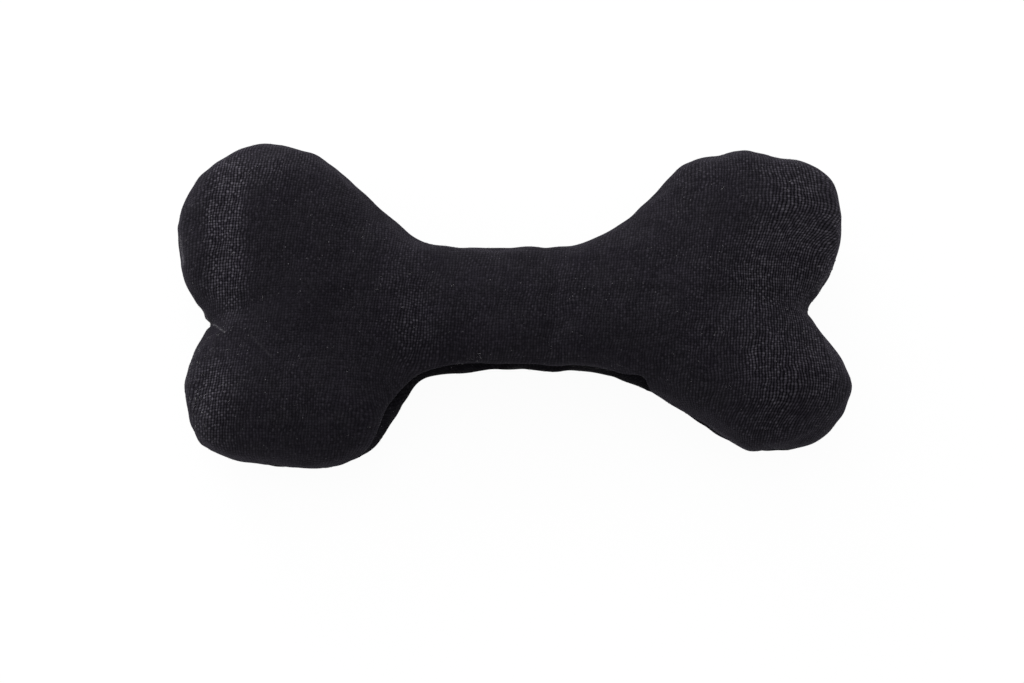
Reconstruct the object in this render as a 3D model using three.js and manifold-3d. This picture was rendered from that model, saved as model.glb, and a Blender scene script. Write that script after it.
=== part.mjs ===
// A soft dog toy in the shape of a bone. Two woven panels are sewn together round their edge, turned
// right side out and packed with loose fibre round a small squeaker.
// Millimetres, +Z up. The toy lies on its back panel with its length along X, and the origin is on
// the surface it rests on, below the middle of its length and width.
import * as THREE from "three";
import { mergeVertices } from "three/addons/utils/BufferGeometryUtils.js";
import Module from "manifold-3d";

const wasm = await Module();
wasm.setup();

// Overall sizes of the stuffed toy
const LENGTH = 180; // end to end, along X
const WIDTH = 87.5; // across the wider pair of knuckles, along Y
const KNUCKLE_THICKNESS = 41; // through the four knuckles and the forks between them, along Z
const SHAFT_THICKNESS = 31; // through the waist of the shaft, along Z
const REST_FLAT_DEPTH = 0.5; // how far the back gives way where it lies on a table

// Cloth, and the seam that joins the two panels
const CLOTH = 1; // thickness of the woven cover
const SEAM_GAP = 0.3; // between the two panels
const SEAM_ALLOWANCE = 4; // cloth turned in behind the stitches
const SEAM_DRAW = 0.7; // how far the stitches draw the edge in below the cloth beside it
const SEAM_ROLL = 2.5; // height over which the cloth rolls into the seam
const SEAM_LIFT = 4.6; // how far the seam along the lower side of the shaft rolls up to the front
const SEAM_DROP = 3.4; // how far it rolls down under the two lower knuckles
const CREASE_REACH = 11; // how far along the seam the fold at each notch is felt

// Fibre stuffing
const FILL_GAP = 0.4; // to the cloth, to the squeaker and from one packed handful to the next
const FILL_SIDE = 1; // fibre between the squeaker and the turned-in cloth

// Squeaker: a soft bulb whose neck is plugged by a holder, which clamps a reed over a channel
const BULB_HEIGHT = 12;
const BULB_WALL = 0.9;
const NECK_WALL = 1;
const NECK_HEIGHT = 3.2;
const HOLDER_RADIUS = 3.3;
const HOLDER_RIM = 0.9; // how far the flange stands out over the neck
const HOLDER_FLANGE = 1; // thickness of the flange
const HOLDER_END = 1.4; // closed end beyond the reed's tip
const CHANNEL_WIDTH = 2;
const CHANNEL_DEPTH = 1.7;
const REED_LAP = 0.6; // how far the reed laps over each edge of the channel
const REED_THICKNESS = 0.3;
const REED_FREE = 3; // length of the reed that can beat
const CLAMP_LENGTH = 3.4; // length of the reed that the clamp holds
const SNUG = 0.1; // between squeaker pieces that are pushed together

const OVERRUN = 5; // how far a cutter runs past what it cuts
const MERGE = 0.0001; // points closer than this are one point

// Shape factors, which have no unit
const bulbSquareness = 0.6; // 1 makes the bulb an ellipsoid, less makes it a rounded drum
const creaseSharpness = 0.15; // how much steeper the cloth falls to a notch than beside it
const leastSlantShare = 0.5; // limits the inset where a section meets the seam at a slant
const waistShare = 0.25; // middle share of the shaft that keeps the waist's thickness
const liftSpan = [-0.43, 0.385]; // from where to where the seam is lifted, in shares of half the length
const liftFades = [0.1, 0.05]; // how far either side of those the lift comes and goes
const dropSpan = [0.3, 0.75]; // over which shares of half the width the drop comes in

// Facets
const SHAFT_COLUMNS = 10;
const ARM_COLUMNS = 4;
const END_COLUMNS = 10;
const LATHE_SIDES = 24;
const BULB_STEPS = 8;
const CROWN = Math.PI / 2; // the angle straight over a root
const OUTER_ANGLES = [CROWN, ...[68, 48, 30, 15, 6].map(THREE.MathUtils.degToRad), 0];
const INNER_ANGLES = [CROWN, ...[66, 43, 20].map(THREE.MathUtils.degToRad), 0];
const FRONT = 1;
const BACK = -1;

// Where the cloth is stuffed out from: the forks and the knuckle centres, in shares of half the
// length and half the width
const rootShares = {
  leftFork: [-0.6, -0.02],
  rightFork: [0.516, -0.025],
  upperLeft: [-0.733, 0.466],
  lowerLeft: [-0.685, -0.466],
  upperRight: [0.694, 0.441],
  lowerRight: [0.774, -0.478],
};

// The seam's outline seen from the front, counter-clockwise, in the same shares. Each stretch runs on
// to the first point of the next one, and is stuffed out from the line between its two roots. Two of
// them start at the notch between a pair of knuckles.
const outlineShares = [
  {
    from: "rightFork",
    to: "leftFork",
    columns: SHAFT_COLUMNS,
    shares: [[0.337, 0.536], [0.242, 0.395], [0.091, 0.344], [-0.132, 0.35], [-0.269, 0.394]],
  },
  { from: "leftFork", to: "upperLeft", columns: ARM_COLUMNS, shares: [[-0.376, 0.547]] },
  {
    from: "upperLeft",
    to: "upperLeft",
    columns: END_COLUMNS,
    shares: [
      [-0.533, 0.85], [-0.614, 0.934], [-0.712, 1], [-0.816, 0.97],
      [-0.917, 0.846], [-0.979, 0.627], [-1, 0.416],
    ],
  },
  { from: "upperLeft", to: "leftFork", columns: ARM_COLUMNS, shares: [[-0.979, 0.149]] },
  {
    from: "leftFork",
    to: "lowerLeft",
    columns: ARM_COLUMNS,
    atNotch: true,
    shares: [[-0.911, -0.124]],
  },
  {
    from: "lowerLeft",
    to: "lowerLeft",
    columns: END_COLUMNS,
    shares: [
      [-0.967, -0.404], [-0.97, -0.64], [-0.92, -0.868],
      [-0.816, -0.958], [-0.637, -0.996], [-0.483, -0.957],
    ],
  },
  { from: "lowerLeft", to: "leftFork", columns: ARM_COLUMNS, shares: [[-0.388, -0.801]] },
  {
    from: "leftFork",
    to: "rightFork",
    columns: SHAFT_COLUMNS,
    shares: [[-0.316, -0.56], [-0.204, -0.422], [0.004, -0.394], [0.21, -0.41]],
  },
  { from: "rightFork", to: "lowerRight", columns: ARM_COLUMNS, shares: [[0.373, -0.496]] },
  {
    from: "lowerRight",
    to: "lowerRight",
    columns: END_COLUMNS,
    shares: [[0.629, -0.824], [0.7, -0.897], [0.848, -0.873], [0.957, -0.698], [1, -0.497]],
  },
  { from: "lowerRight", to: "rightFork", columns: ARM_COLUMNS, shares: [[0.952, -0.274]] },
  {
    from: "rightFork",
    to: "upperRight",
    columns: ARM_COLUMNS,
    atNotch: true,
    shares: [[0.879, -0.048]],
  },
  {
    from: "upperRight",
    to: "upperRight",
    columns: END_COLUMNS,
    shares: [
      [0.953, 0.217], [0.977, 0.429], [0.96, 0.714],
      [0.848, 0.887], [0.67, 0.95], [0.533, 0.885],
    ],
  },
  { from: "upperRight", to: "rightFork", columns: ARM_COLUMNS, shares: [[0.444, 0.752]] },
];

const HALF_LENGTH = LENGTH / 2;
const HALF_WIDTH = WIDTH / 2;
const SEAM_HEIGHT = KNUCKLE_THICKNESS / 2 - REST_FLAT_DEPTH;

const inPlan = ([x, y]) => new THREE.Vector3(x * HALF_LENGTH, y * HALF_WIDTH, 0);
const roots = Object.fromEntries(
  Object.entries(rootShares).map(([name, share]) => [name, inPlan(share)]),
);
const forkSpan = roots.rightFork.x - roots.leftFork.x;
const shaftMiddle = roots.leftFork.clone().lerp(roots.rightFork, 1 / 2);

const startOf = ({ shares }) => inPlan(shares[0]);
const notches = outlineShares.filter(({ atNotch }) => atNotch).map(startOf);

// The root of one column of a stretch. Both sides of a shaft or knuckle work out each root alike,
// so that their surfaces meet point for point.
function rootAt({ from, to, columns }, step) {
  const forward = from < to;
  const [start, end] = forward ? [roots[from], roots[to]] : [roots[to], roots[from]];
  const share = (forward ? step : columns - step) / columns;
  return start.clone().multiplyScalar(1 - share).addScaledVector(end, share);
}

// Half the toy's thickness over a root: the waist's in the middle of the shaft, and growing
// smoothly to the knuckles' at the forks
function crownOver(root) {
  const out = Math.abs(root.x - shaftMiddle.x) / (forkSpan / 2);
  const swell = THREE.MathUtils.smoothstep(out, waistShare, 1);
  return THREE.MathUtils.lerp(SHAFT_THICKNESS, KNUCKLE_THICKNESS, swell) / 2;
}

// How far the seam is rolled up to the front at a point of the outline: up beside the lower side of
// the shaft, down under the lower knuckles, and neither along the upper side
function liftAt(edge) {
  if (edge.y >= 0) return 0;
  const place = edge.x / HALF_LENGTH;
  const [rise, fall] = liftSpan.map((middle, end) =>
    THREE.MathUtils.smoothstep(place, middle - liftFades[end], middle + liftFades[end]),
  );
  const lifted = rise * (1 - fall);
  const dropped = THREE.MathUtils.smoothstep(-edge.y / HALF_WIDTH, ...dropSpan);
  return SEAM_LIFT * lifted - SEAM_DROP * dropped * (1 - lifted);
}

// A column is the half section of the toy that stands on the line from a root to the seam.
function layColumn(outline, place, root) {
  const edge = outline.getPoint(place);
  const tangent = outline.getTangent(place);
  const outward = new THREE.Vector3(tangent.y, -tangent.x, 0);
  const along = edge.clone().sub(root).normalize();
  const nearest = Math.min(...notches.map((notch) => edge.distanceTo(notch)));
  const crown = crownOver(root);
  const lift = liftAt(edge);
  return {
    root,
    edge,
    along,
    reach: edge.distanceTo(root),
    slant: Math.max(along.dot(outward), leastSlantShare),
    crown,
    lift,
    seamShare: Math.sqrt(1 - (lift / crown) ** 2),
    steepness: 1 + creaseSharpness * Math.exp(-((nearest / CREASE_REACH) ** 2)),
  };
}

function layColumns() {
  const points = outlineShares.flatMap(({ shares }) => shares.map(inPlan));
  const outline = new THREE.CatmullRomCurve3(points, true, "centripetal");
  const laid = [];
  let knot = 0;
  for (const stretch of outlineShares) {
    for (let step = 0; step < stretch.columns; step++) {
      const place = (knot + (stretch.shares.length * step) / stretch.columns) / points.length;
      laid.push(layColumn(outline, place, rootAt(stretch, step)));
    }
    knot += stretch.shares.length;
  }
  return laid;
}

const columns = layColumns();

// The rounded section over one column: how high it is over the seam at an angle, and its share of
// the column's reach. A seam on this panel's side of the middle is the section's widest place. One
// beyond the middle lies round under it, and the section bulges out over the seam.
function sectionAt(angle, top, face, { crown, lift, seamShare, steepness }) {
  const towards = face * lift;
  if (towards > 0) {
    return { height: (top - towards) * Math.sin(angle) ** steepness, share: Math.cos(angle) * seamShare };
  }
  const turn = THREE.MathUtils.lerp(Math.asin(towards / crown), CROWN, angle / CROWN);
  const height = top * Math.sign(turn) * Math.abs(Math.sin(turn)) ** steepness - towards;
  return { height, share: Math.cos(turn) };
}

// A layer is a surface that lies an inset inside the cloth's face, on the front or the back, and
// starts a base height away from the seam. This gives its point on one column: over the seam at
// angle 0, rising as a rounded section, and over the root at the crown. The stitches draw the seam
// in, and the cloth swells out beside it.
function layerPoint({ inset, base, face }, angle, column) {
  const top = column.crown - inset;
  if (angle === CROWN) return column.root.clone().setZ(SEAM_HEIGHT + face * top);
  const section = sectionAt(angle, top, face, column);
  const height = Math.max(base, section.height);
  const draw = SEAM_DRAW * (Math.exp(-(((height - base) / SEAM_ROLL) ** 2)) - 1 / 2);
  const reach = column.reach - (inset + draw) / column.slant;
  return column.root
    .clone()
    .addScaledVector(column.along, reach * section.share)
    .setZ(SEAM_HEIGHT + column.lift + face * height);
}

const row = (layer, angle) => columns.map((column) => layerPoint(layer, angle, column));

// The closed surface through rows of points. The rows go clockwise round the section of a column,
// from crown to crown, and the columns go counter-clockwise round the toy. Each patch is split from
// its crown side here to its seam side at the next column, so that layers keep their distance.
function wrap(rows) {
  const corners = [];
  rows.slice(1).forEach((below, index) => {
    const above = rows[index];
    columns.forEach(({ root }, here) => {
      const next = (here + 1) % columns.length;
      const [a, b, c, d] = [above[here], below[here], below[next], above[next]];
      const crownFirst = planDistance(a, root) < planDistance(b, root);
      corners.push(...(crownFirst ? [a, b, c, a, c, d] : [a, b, d, b, c, d]));
    });
  });
  return solidOf(new THREE.BufferGeometry().setFromPoints(corners));
}

const planDistance = (point, root) => Math.hypot(point.x - root.x, point.y - root.y);

// Solids, for joining and cutting
function solidOf(geometry) {
  geometry.deleteAttribute("normal");
  geometry.deleteAttribute("uv");
  const merged = mergeVertices(geometry, MERGE);
  const corners = merged.index.array;
  const kept = [];
  for (let i = 0; i < corners.length; i += 3) {
    const [a, b, c] = corners.slice(i, i + 3);
    if (a !== b && b !== c && c !== a) kept.push(a, b, c);
  }
  const vertProperties = merged.attributes.position.array;
  return new wasm.Manifold(
    new wasm.Mesh({ numProp: 3, vertProperties, triVerts: new Uint32Array(kept) }),
  );
}

function meshOf(name, solid, material) {
  const { numProp, vertProperties, triVerts } = solid.getMesh();
  const geometry = new THREE.BufferGeometry();
  geometry.setAttribute("position", new THREE.BufferAttribute(vertProperties, numProp));
  geometry.setIndex(new THREE.BufferAttribute(triVerts, 1));
  geometry.computeVertexNormals();
  const mesh = new THREE.Mesh(geometry, material);
  mesh.name = name;
  return mesh;
}

// A box given by its lowest and highest corners
function block(low, high) {
  const size = new THREE.Vector3().subVectors(high, low);
  const middle = low.clone().addScaledVector(size, 1 / 2);
  return solidOf(new THREE.BoxGeometry(size.x, size.y, size.z).translate(middle.x, middle.y, middle.z));
}

// A body of revolution about Z, from [radius, height] pairs that go counter-clockwise
function turned(profile) {
  const points = profile.map(([radius, height]) => new THREE.Vector2(radius, height));
  return solidOf(new THREE.LatheGeometry(points, LATHE_SIDES).rotateX(Math.PI / 2));
}

// Cover: each panel is its dome of cloth, and the allowance turned in behind the seam
function makeCover(face) {
  const base = SEAM_GAP / 2;
  const outside = { inset: 0, base, face };
  const inside = { inset: CLOTH, base: base + CLOTH, face };
  const rows = [
    ...OUTER_ANGLES.map((angle) => row(outside, angle)),
    row({ inset: SEAM_ALLOWANCE, base, face }, 0),
    row({ inset: SEAM_ALLOWANCE, base: base + CLOTH, face }, 0),
    ...INNER_ANGLES.toReversed().map((angle) => row(inside, angle)),
  ];
  return wrap(face === FRONT ? rows : rows.toReversed());
}

// The back panel is pressed flat where the toy lies on it.
function makeBackCover() {
  const table = block(
    new THREE.Vector3(-LENGTH, -WIDTH, -KNUCKLE_THICKNESS),
    new THREE.Vector3(LENGTH, WIDTH, 0),
  );
  return makeCover(BACK).subtract(table);
}

// Stuffing: one body that fills the cover and leaves a slot for the seam allowances, parted into a
// packed handful for each knuckle and one for each half of the shaft
function makeStuffing(squeakerRoom) {
  const inset = CLOTH + FILL_GAP;
  const base = SEAM_GAP / 2 + CLOTH + FILL_GAP;
  const slot = SEAM_ALLOWANCE + FILL_GAP;
  const half = (face) => [
    ...INNER_ANGLES.map((angle) => row({ inset, base, face }, angle)),
    row({ inset: slot, base, face }, 0),
  ];
  const whole = wrap([...half(FRONT), ...half(BACK).toReversed()]);
  const sideways = new THREE.Vector3(0, HALF_WIDTH, 0);
  const fromForks = outlineShares.filter(({ from }) => from.endsWith("Fork"));
  const partings = fromForks.map((stretch) => parting(roots[stretch.from], startOf(stretch)));
  partings.push(parting(shaftMiddle.clone().sub(sideways), shaftMiddle.clone().add(sideways)));
  return [...partings, squeakerRoom].reduce((body, cut) => body.subtract(cut), whole).decompose();
}

// A thin upright plate that starts at one point and runs past another
function parting(start, through) {
  const run = through.clone().sub(start);
  const length = run.length() + OVERRUN;
  const plate = new THREE.BoxGeometry(length + FILL_GAP, FILL_GAP, 2 * KNUCKLE_THICKNESS)
    .translate((length - FILL_GAP) / 2, 0, 0)
    .rotateZ(Math.atan2(run.y, run.x))
    .translate(start.x, start.y, SEAM_HEIGHT);
  return solidOf(plate);
}

// The handful of stuffing whose middle is nearest to a point in plan
function handfulNear(handfuls, point) {
  const distance = (handful) => {
    const { min, max } = handful.boundingBox();
    return Math.hypot((min[0] + max[0]) / 2 - point.x, (min[1] + max[1]) / 2 - point.y);
  };
  return handfuls.reduce((best, other) => (distance(other) < distance(best) ? other : best));
}

// Squeaker: the bulb is as wide as the shaft leaves room for between the turned-in cloth
const squeakerRoomRadius = Math.min(
  ...columns.map(({ edge, seamShare }) => seamShare * edge.distanceTo(shaftMiddle)),
);
const bulbRadius = squeakerRoomRadius - SEAM_ALLOWANCE - SEAM_DRAW - FILL_SIDE;
const boreRadius = HOLDER_RADIUS + SNUG;
const neckRadius = boreRadius + NECK_WALL;
const neckTop = BULB_HEIGHT / 2 + NECK_HEIGHT;
const flangeSeat = neckTop + SNUG;
const flangeRadius = HOLDER_RADIUS + HOLDER_RIM;
const holderTop = flangeSeat + HOLDER_FLANGE;
const holderLength = CLAMP_LENGTH + REED_FREE + HOLDER_END;
const squeakerHeight = SEAM_HEIGHT - (holderTop - BULB_HEIGHT / 2) / 2;

// The rounded drum's profile from its lowest point up to the radius of its mouth
function drumProfile(radius, halfHeight, mouth) {
  const last = Math.acos((mouth / radius) ** (1 / bulbSquareness));
  return Array.from({ length: BULB_STEPS + 1 }, (_, step) => {
    const angle = THREE.MathUtils.lerp(-CROWN, last, step / BULB_STEPS);
    const across = step ? Math.cos(angle) ** bulbSquareness : 0;
    const up = Math.sign(angle) * Math.abs(Math.sin(angle)) ** bulbSquareness;
    return [radius * across, halfHeight * up];
  });
}

function makeBulb() {
  const outside = drumProfile(bulbRadius, BULB_HEIGHT / 2, neckRadius);
  const inside = drumProfile(bulbRadius - BULB_WALL, BULB_HEIGHT / 2 - BULB_WALL, boreRadius);
  return turned([...outside, [neckRadius, neckTop], [boreRadius, neckTop], ...inside.toReversed()]);
}

// The room that the squeaker takes in the stuffing
function makeSqueakerRoom() {
  const mouth = Math.max(neckRadius, flangeRadius) + FILL_GAP;
  const top = holderTop + FILL_GAP;
  const drum = drumProfile(bulbRadius + FILL_GAP, BULB_HEIGHT / 2 + FILL_GAP, mouth);
  return turned([...drum, [mouth, top], [0, top]]);
}

// The holder is a half barrel under a round flange. Its channel is open to the reed along its flat,
// runs out through the flange and stops short of the inner end.
function makeHolder() {
  const bottom = flangeSeat - holderLength;
  const barrel = turned([[0, bottom], [HOLDER_RADIUS, bottom], [HOLDER_RADIUS, holderTop], [0, holderTop]]);
  const flange = turned([[0, flangeSeat], [flangeRadius, flangeSeat], [flangeRadius, holderTop], [0, holderTop]]);
  const openHalf = block(
    new THREE.Vector3(-HOLDER_RADIUS - OVERRUN, 0, bottom - OVERRUN),
    new THREE.Vector3(HOLDER_RADIUS + OVERRUN, HOLDER_RADIUS + OVERRUN, flangeSeat),
  );
  const channel = block(
    new THREE.Vector3(-CHANNEL_WIDTH / 2, -CHANNEL_DEPTH, bottom + HOLDER_END),
    new THREE.Vector3(CHANNEL_WIDTH / 2, 0, holderTop + OVERRUN),
  );
  return barrel.subtract(openHalf).add(flange).subtract(channel);
}

function makeReed() {
  const halfWidth = CHANNEL_WIDTH / 2 + REED_LAP;
  const top = flangeSeat - SNUG;
  return block(
    new THREE.Vector3(-halfWidth, SNUG, top - CLAMP_LENGTH - REED_FREE),
    new THREE.Vector3(halfWidth, SNUG + REED_THICKNESS, top),
  );
}

function makeClamp() {
  const top = flangeSeat - SNUG;
  const bottom = top - CLAMP_LENGTH;
  const barrel = turned([[0, bottom], [HOLDER_RADIUS, bottom], [HOLDER_RADIUS, top], [0, top]]);
  const reedSide = block(
    new THREE.Vector3(-HOLDER_RADIUS - OVERRUN, -HOLDER_RADIUS - OVERRUN, bottom - OVERRUN),
    new THREE.Vector3(HOLDER_RADIUS + OVERRUN, REED_THICKNESS + 2 * SNUG, top + OVERRUN),
  );
  return barrel.subtract(reedSide);
}

const finish = (color, roughness) => new THREE.MeshStandardMaterial({ color, roughness, metalness: 0 });
const blackCloth = { roughness: 0.95, color: 0x1f1d22 };
const whiteFibre = { roughness: 1, color: 0xe9e7e2 };
const milkyPlastic = { roughness: 0.45, color: 0xe4e6e4 };
const whitePlastic = { roughness: 0.35, color: 0xf2f2ee };
const reedFilm = { roughness: 0.25, color: 0xd9dcd6 };

const toy = new THREE.Group();
const addTo = (group, name, solid, { color, roughness }) =>
  group.add(meshOf(name, solid, finish(color, roughness)));

addTo(toy, "front_cover", makeCover(FRONT), blackCloth);
addTo(toy, "back_cover", makeBackCover(), blackCloth);

const squeaker = new THREE.Group();
squeaker.position.copy(shaftMiddle).setZ(squeakerHeight);
addTo(squeaker, "squeaker_bulb", makeBulb(), milkyPlastic);
addTo(squeaker, "reed_holder", makeHolder(), whitePlastic);
addTo(squeaker, "squeaker_reed", makeReed(), reedFilm);
addTo(squeaker, "reed_clamp", makeClamp(), whitePlastic);
toy.add(squeaker);

const squeakerRoom = makeSqueakerRoom().translate(shaftMiddle.x, shaftMiddle.y, squeakerHeight);
const handfuls = makeStuffing(squeakerRoom);
const handfulPlaces = {
  upper_left_fill: roots.upperLeft,
  lower_left_fill: roots.lowerLeft,
  shaft_left_fill: shaftMiddle.clone().lerp(roots.leftFork, 1 / 2),
  shaft_right_fill: shaftMiddle.clone().lerp(roots.rightFork, 1 / 2),
  upper_right_fill: roots.upperRight,
  lower_right_fill: roots.lowerRight,
};
for (const [name, place] of Object.entries(handfulPlaces)) {
  addTo(toy, name, handfulNear(handfuls, place), whiteFibre);
}

export default toy;
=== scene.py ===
"""The looks of a stuffed bone toy for dogs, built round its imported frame.

Two panels of black plain-woven cloth are sewn together round their edge, turned right side out and
packed with fibre round a squeaker. The cloth is worked out on grids whose columns run round the seam
and whose rows run from the crown to the seam. Metres, +Z up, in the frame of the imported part.
"""

import logging
import math
from dataclasses import dataclass, field
from enum import Enum
from functools import cache, reduce

import bpy
import numpy as np
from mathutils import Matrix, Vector


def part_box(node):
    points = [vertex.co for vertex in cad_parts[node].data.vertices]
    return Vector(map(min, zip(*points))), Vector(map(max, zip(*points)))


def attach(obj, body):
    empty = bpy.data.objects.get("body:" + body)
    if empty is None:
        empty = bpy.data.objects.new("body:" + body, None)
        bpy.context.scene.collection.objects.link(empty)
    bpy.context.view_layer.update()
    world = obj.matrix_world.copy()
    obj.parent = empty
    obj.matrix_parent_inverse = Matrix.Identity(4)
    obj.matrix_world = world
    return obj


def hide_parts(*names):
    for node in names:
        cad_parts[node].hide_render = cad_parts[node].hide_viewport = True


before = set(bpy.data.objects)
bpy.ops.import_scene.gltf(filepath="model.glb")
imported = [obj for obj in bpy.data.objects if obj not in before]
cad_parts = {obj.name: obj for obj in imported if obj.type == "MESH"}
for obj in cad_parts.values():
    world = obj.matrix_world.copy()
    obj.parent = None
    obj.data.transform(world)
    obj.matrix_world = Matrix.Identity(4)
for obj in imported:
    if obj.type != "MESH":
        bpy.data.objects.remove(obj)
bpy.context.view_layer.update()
LOG = logging.getLogger("bone_toy")
MM = 0.001
SEED = 11
BODY = "root"
FLAT_MAP = "flat_pattern"
CLARITY = "weave_clarity"
RIB = "upright_strength"
# A factor of painted light and shade on the cloth's colour, one at each vertex.
PAINTED_SHADING = "painted_light_and_shade"
ROAM = "weave_roam"
STRAND = "strand_brightness"
WELD_DISTANCE = 0.001 * MM
REST_SOFTNESS = 0.6 * MM
SLANTED = (0.31, 0.53, 0.79)


class Face(Enum):
    """The side of the seam that a panel lies on, and its sign along Z."""

    FRONT = 1
    BACK = -1


@dataclass(frozen=True)
class Stretch:
    """A stretch of the seam, stuffed out from the line between two roots.

    It runs counter-clockwise on to the first knot of the next stretch. The knots are picked on the
    photograph, in shares of half the toy's length and half its width.
    """

    start: str
    end: str
    columns: int
    knots: tuple[tuple[float, float], ...]
    at_notch: bool = False


SHAFT_COLUMNS = 96
ARM_COLUMNS = 24
END_COLUMNS = 92

ROOT_SHARES = {
    "left_fork": (-0.6, -0.02),
    "right_fork": (0.516, -0.025),
    "upper_left": (-0.733, 0.466),
    "lower_left": (-0.685, -0.466),
    "upper_right": (0.694, 0.441),
    "lower_right": (0.774, -0.478),
}

STRETCHES = (
    Stretch(
        "right_fork", "left_fork", SHAFT_COLUMNS,
        ((0.337, 0.536), (0.266, 0.419), (0.195, 0.361), (0.1, 0.344), (-0.091, 0.346),
         (-0.186, 0.354), (-0.281, 0.4)),
    ),
    Stretch("left_fork", "upper_left", ARM_COLUMNS, ((-0.376, 0.547), (-0.471, 0.733))),
    Stretch(
        "upper_left", "upper_left", END_COLUMNS,
        ((-0.533, 0.85), (-0.614, 0.934), (-0.712, 1.0), (-0.804, 0.976), (-0.902, 0.866),
         (-0.966, 0.702), (-1.0, 0.54), (-1.007, 0.429)),
    ),
    Stretch("upper_left", "left_fork", ARM_COLUMNS, ((-0.992, 0.19), (-0.952, 0.031))),
    Stretch("left_fork", "lower_left", ARM_COLUMNS, ((-0.911, -0.118), (-0.938, -0.264)), True),
    Stretch(
        "lower_left", "lower_left", END_COLUMNS,
        ((-0.967, -0.416), (-0.974, -0.565), (-0.961, -0.712), (-0.923, -0.868), (-0.85, -0.938),
         (-0.756, -0.981), (-0.637, -1.0), (-0.519, -0.981), (-0.441, -0.913)),
    ),
    Stretch("lower_left", "left_fork", ARM_COLUMNS, ((-0.388, -0.801),)),
    Stretch(
        "left_fork", "right_fork", SHAFT_COLUMNS,
        ((-0.328, -0.592), (-0.281, -0.472), (-0.221, -0.424), (-0.091, -0.397), (0.004, -0.385),
         (0.123, -0.396), (0.254, -0.42)),
    ),
    Stretch("right_fork", "lower_right", ARM_COLUMNS, ((0.373, -0.494), (0.48, -0.624))),
    Stretch(
        "lower_right", "lower_right", END_COLUMNS,
        ((0.629, -0.824), (0.685, -0.887), (0.706, -0.898), (0.813, -0.885), (0.882, -0.845),
         (0.928, -0.768), (0.98, -0.617), (0.997, -0.516)),
    ),
    Stretch("lower_right", "right_fork", ARM_COLUMNS, ((0.956, -0.312), (0.912, -0.174))),
    Stretch("right_fork", "upper_right", ARM_COLUMNS, ((0.879, -0.043), (0.916, 0.083)), True),
    Stretch(
        "upper_right", "upper_right", END_COLUMNS,
        ((0.955, 0.222), (0.977, 0.404), (0.972, 0.627), (0.962, 0.722), (0.91, 0.832),
         (0.86, 0.886), (0.765, 0.928), (0.67, 0.95), (0.599, 0.92), (0.527, 0.88)),
    ),
    Stretch("upper_right", "right_fork", ARM_COLUMNS, ((0.444, 0.75), (0.391, 0.635))),
)


# Arrays


def norm(vectors: np.ndarray) -> np.ndarray:
    """Unit vectors along the last axis of an array."""
    return vectors / np.maximum(np.linalg.norm(vectors, axis=-1, keepdims=True), 1e-12)


def smoothstep(values: np.ndarray, low: float, high: float) -> np.ndarray:
    """0 below low, 1 above high, and 3t^2 - 2t^3 between them."""
    t = np.clip((values - low) / (high - low), 0.0, 1.0)
    return t * t * (3.0 - 2.0 * t)


def bump(distance: np.ndarray, width: float | np.ndarray) -> np.ndarray:
    """A rounded bump, exp(-(distance / width)^2)."""
    return np.exp(-((distance / width) ** 2))


def ring_length(arc: np.ndarray) -> float:
    """A closed line's length from its points' places, with the last step like the one before."""
    return arc[-1] + (arc[-1] - arc[-2])


def segment_distance(points: np.ndarray, start: np.ndarray, end: np.ndarray) -> tuple[np.ndarray, ...]:
    """Places points beside a straight segment in plan.

    Args:
        points: points whose last axis starts with x and y.
        start: the segment's first end, x and y.
        end: its last end.

    Returns:
        The distance to the segment, positive on its left, and the share of the way along it.
    """
    run = end - start
    out = points[..., :2] - start
    share = np.clip(out @ run / (run @ run), 0.0, 1.0)
    nearest = start + share[..., None] * run
    side = np.sign(run[0] * out[..., 1] - run[1] * out[..., 0])
    return side * np.linalg.norm(points[..., :2] - nearest, axis=-1), share


@dataclass(frozen=True)
class Spots:
    """A quantity over the toy: an even part, and rounded spots picked on the photograph.

    A spot is its x and y, its width and its height, all in shares of the half sizes, and its weight.
    """

    even: float = 1.0
    spots: tuple[tuple[float, float, float, float, float], ...] = ()

    def bumps(self, shares: np.ndarray) -> list[np.ndarray]:
        """Each spot's weight times its bump, at places given in shares."""
        return [
            weight * bump(np.linalg.norm((shares - (x, y)) / (wide, tall), axis=-1), 1.0)
            for x, y, wide, tall, weight in self.spots
        ]

    def at(self, shares: np.ndarray) -> np.ndarray:
        """The quantity at places given in shares, the even part plus each spot's bump."""
        return sum(self.bumps(shares), np.full(shares.shape[:-1], self.even))

    def slopes(self, shares: np.ndarray) -> np.ndarray:
        """A height that rises along Y through each spot: its bump times the way from its middle."""
        ways = (shares[..., 1] - y for _, y, _, _, _ in self.spots)
        rises = (way * round_about for way, round_about in zip(ways, self.bumps(shares)))
        return sum(rises, self.even * shares[..., 1])


@dataclass(frozen=True)
class Lumps:
    """Soft unevenness of the filling: the mean of sine waves that run in random directions."""

    height: float
    shortest: float
    longest: float
    waves: int = 9

    def at(self, points: np.ndarray) -> np.ndarray:
        """The height at each point, the sum of a sin(k.p + phase) over the waves."""
        rng = np.random.default_rng(SEED)
        lengths = rng.uniform(self.shortest, self.longest, self.waves)
        directions = norm(rng.normal(size=(self.waves, 3)))
        turns = points @ (directions * (2.0 * math.pi / lengths)[:, None]).T
        waves = np.sin(turns + rng.uniform(0.0, 2.0 * math.pi, self.waves))
        return self.height * waves.sum(-1) / math.sqrt(self.waves)


# Meshes


def read(items: bpy.types.bpy_prop_collection, name: str, width: int, kind: type) -> np.ndarray:
    """One property of all the items of a mesh, as an array (n, width)."""
    values = np.zeros(width * len(items), kind)
    items.foreach_get(name, values)
    return values.reshape(-1, width)


def linked(name: str, data: bpy.types.ID | None) -> bpy.types.Object:
    """A new object at the origin, linked to the scene."""
    made = bpy.data.objects.new(name, data)
    bpy.context.scene.collection.objects.link(made)
    return made


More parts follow.
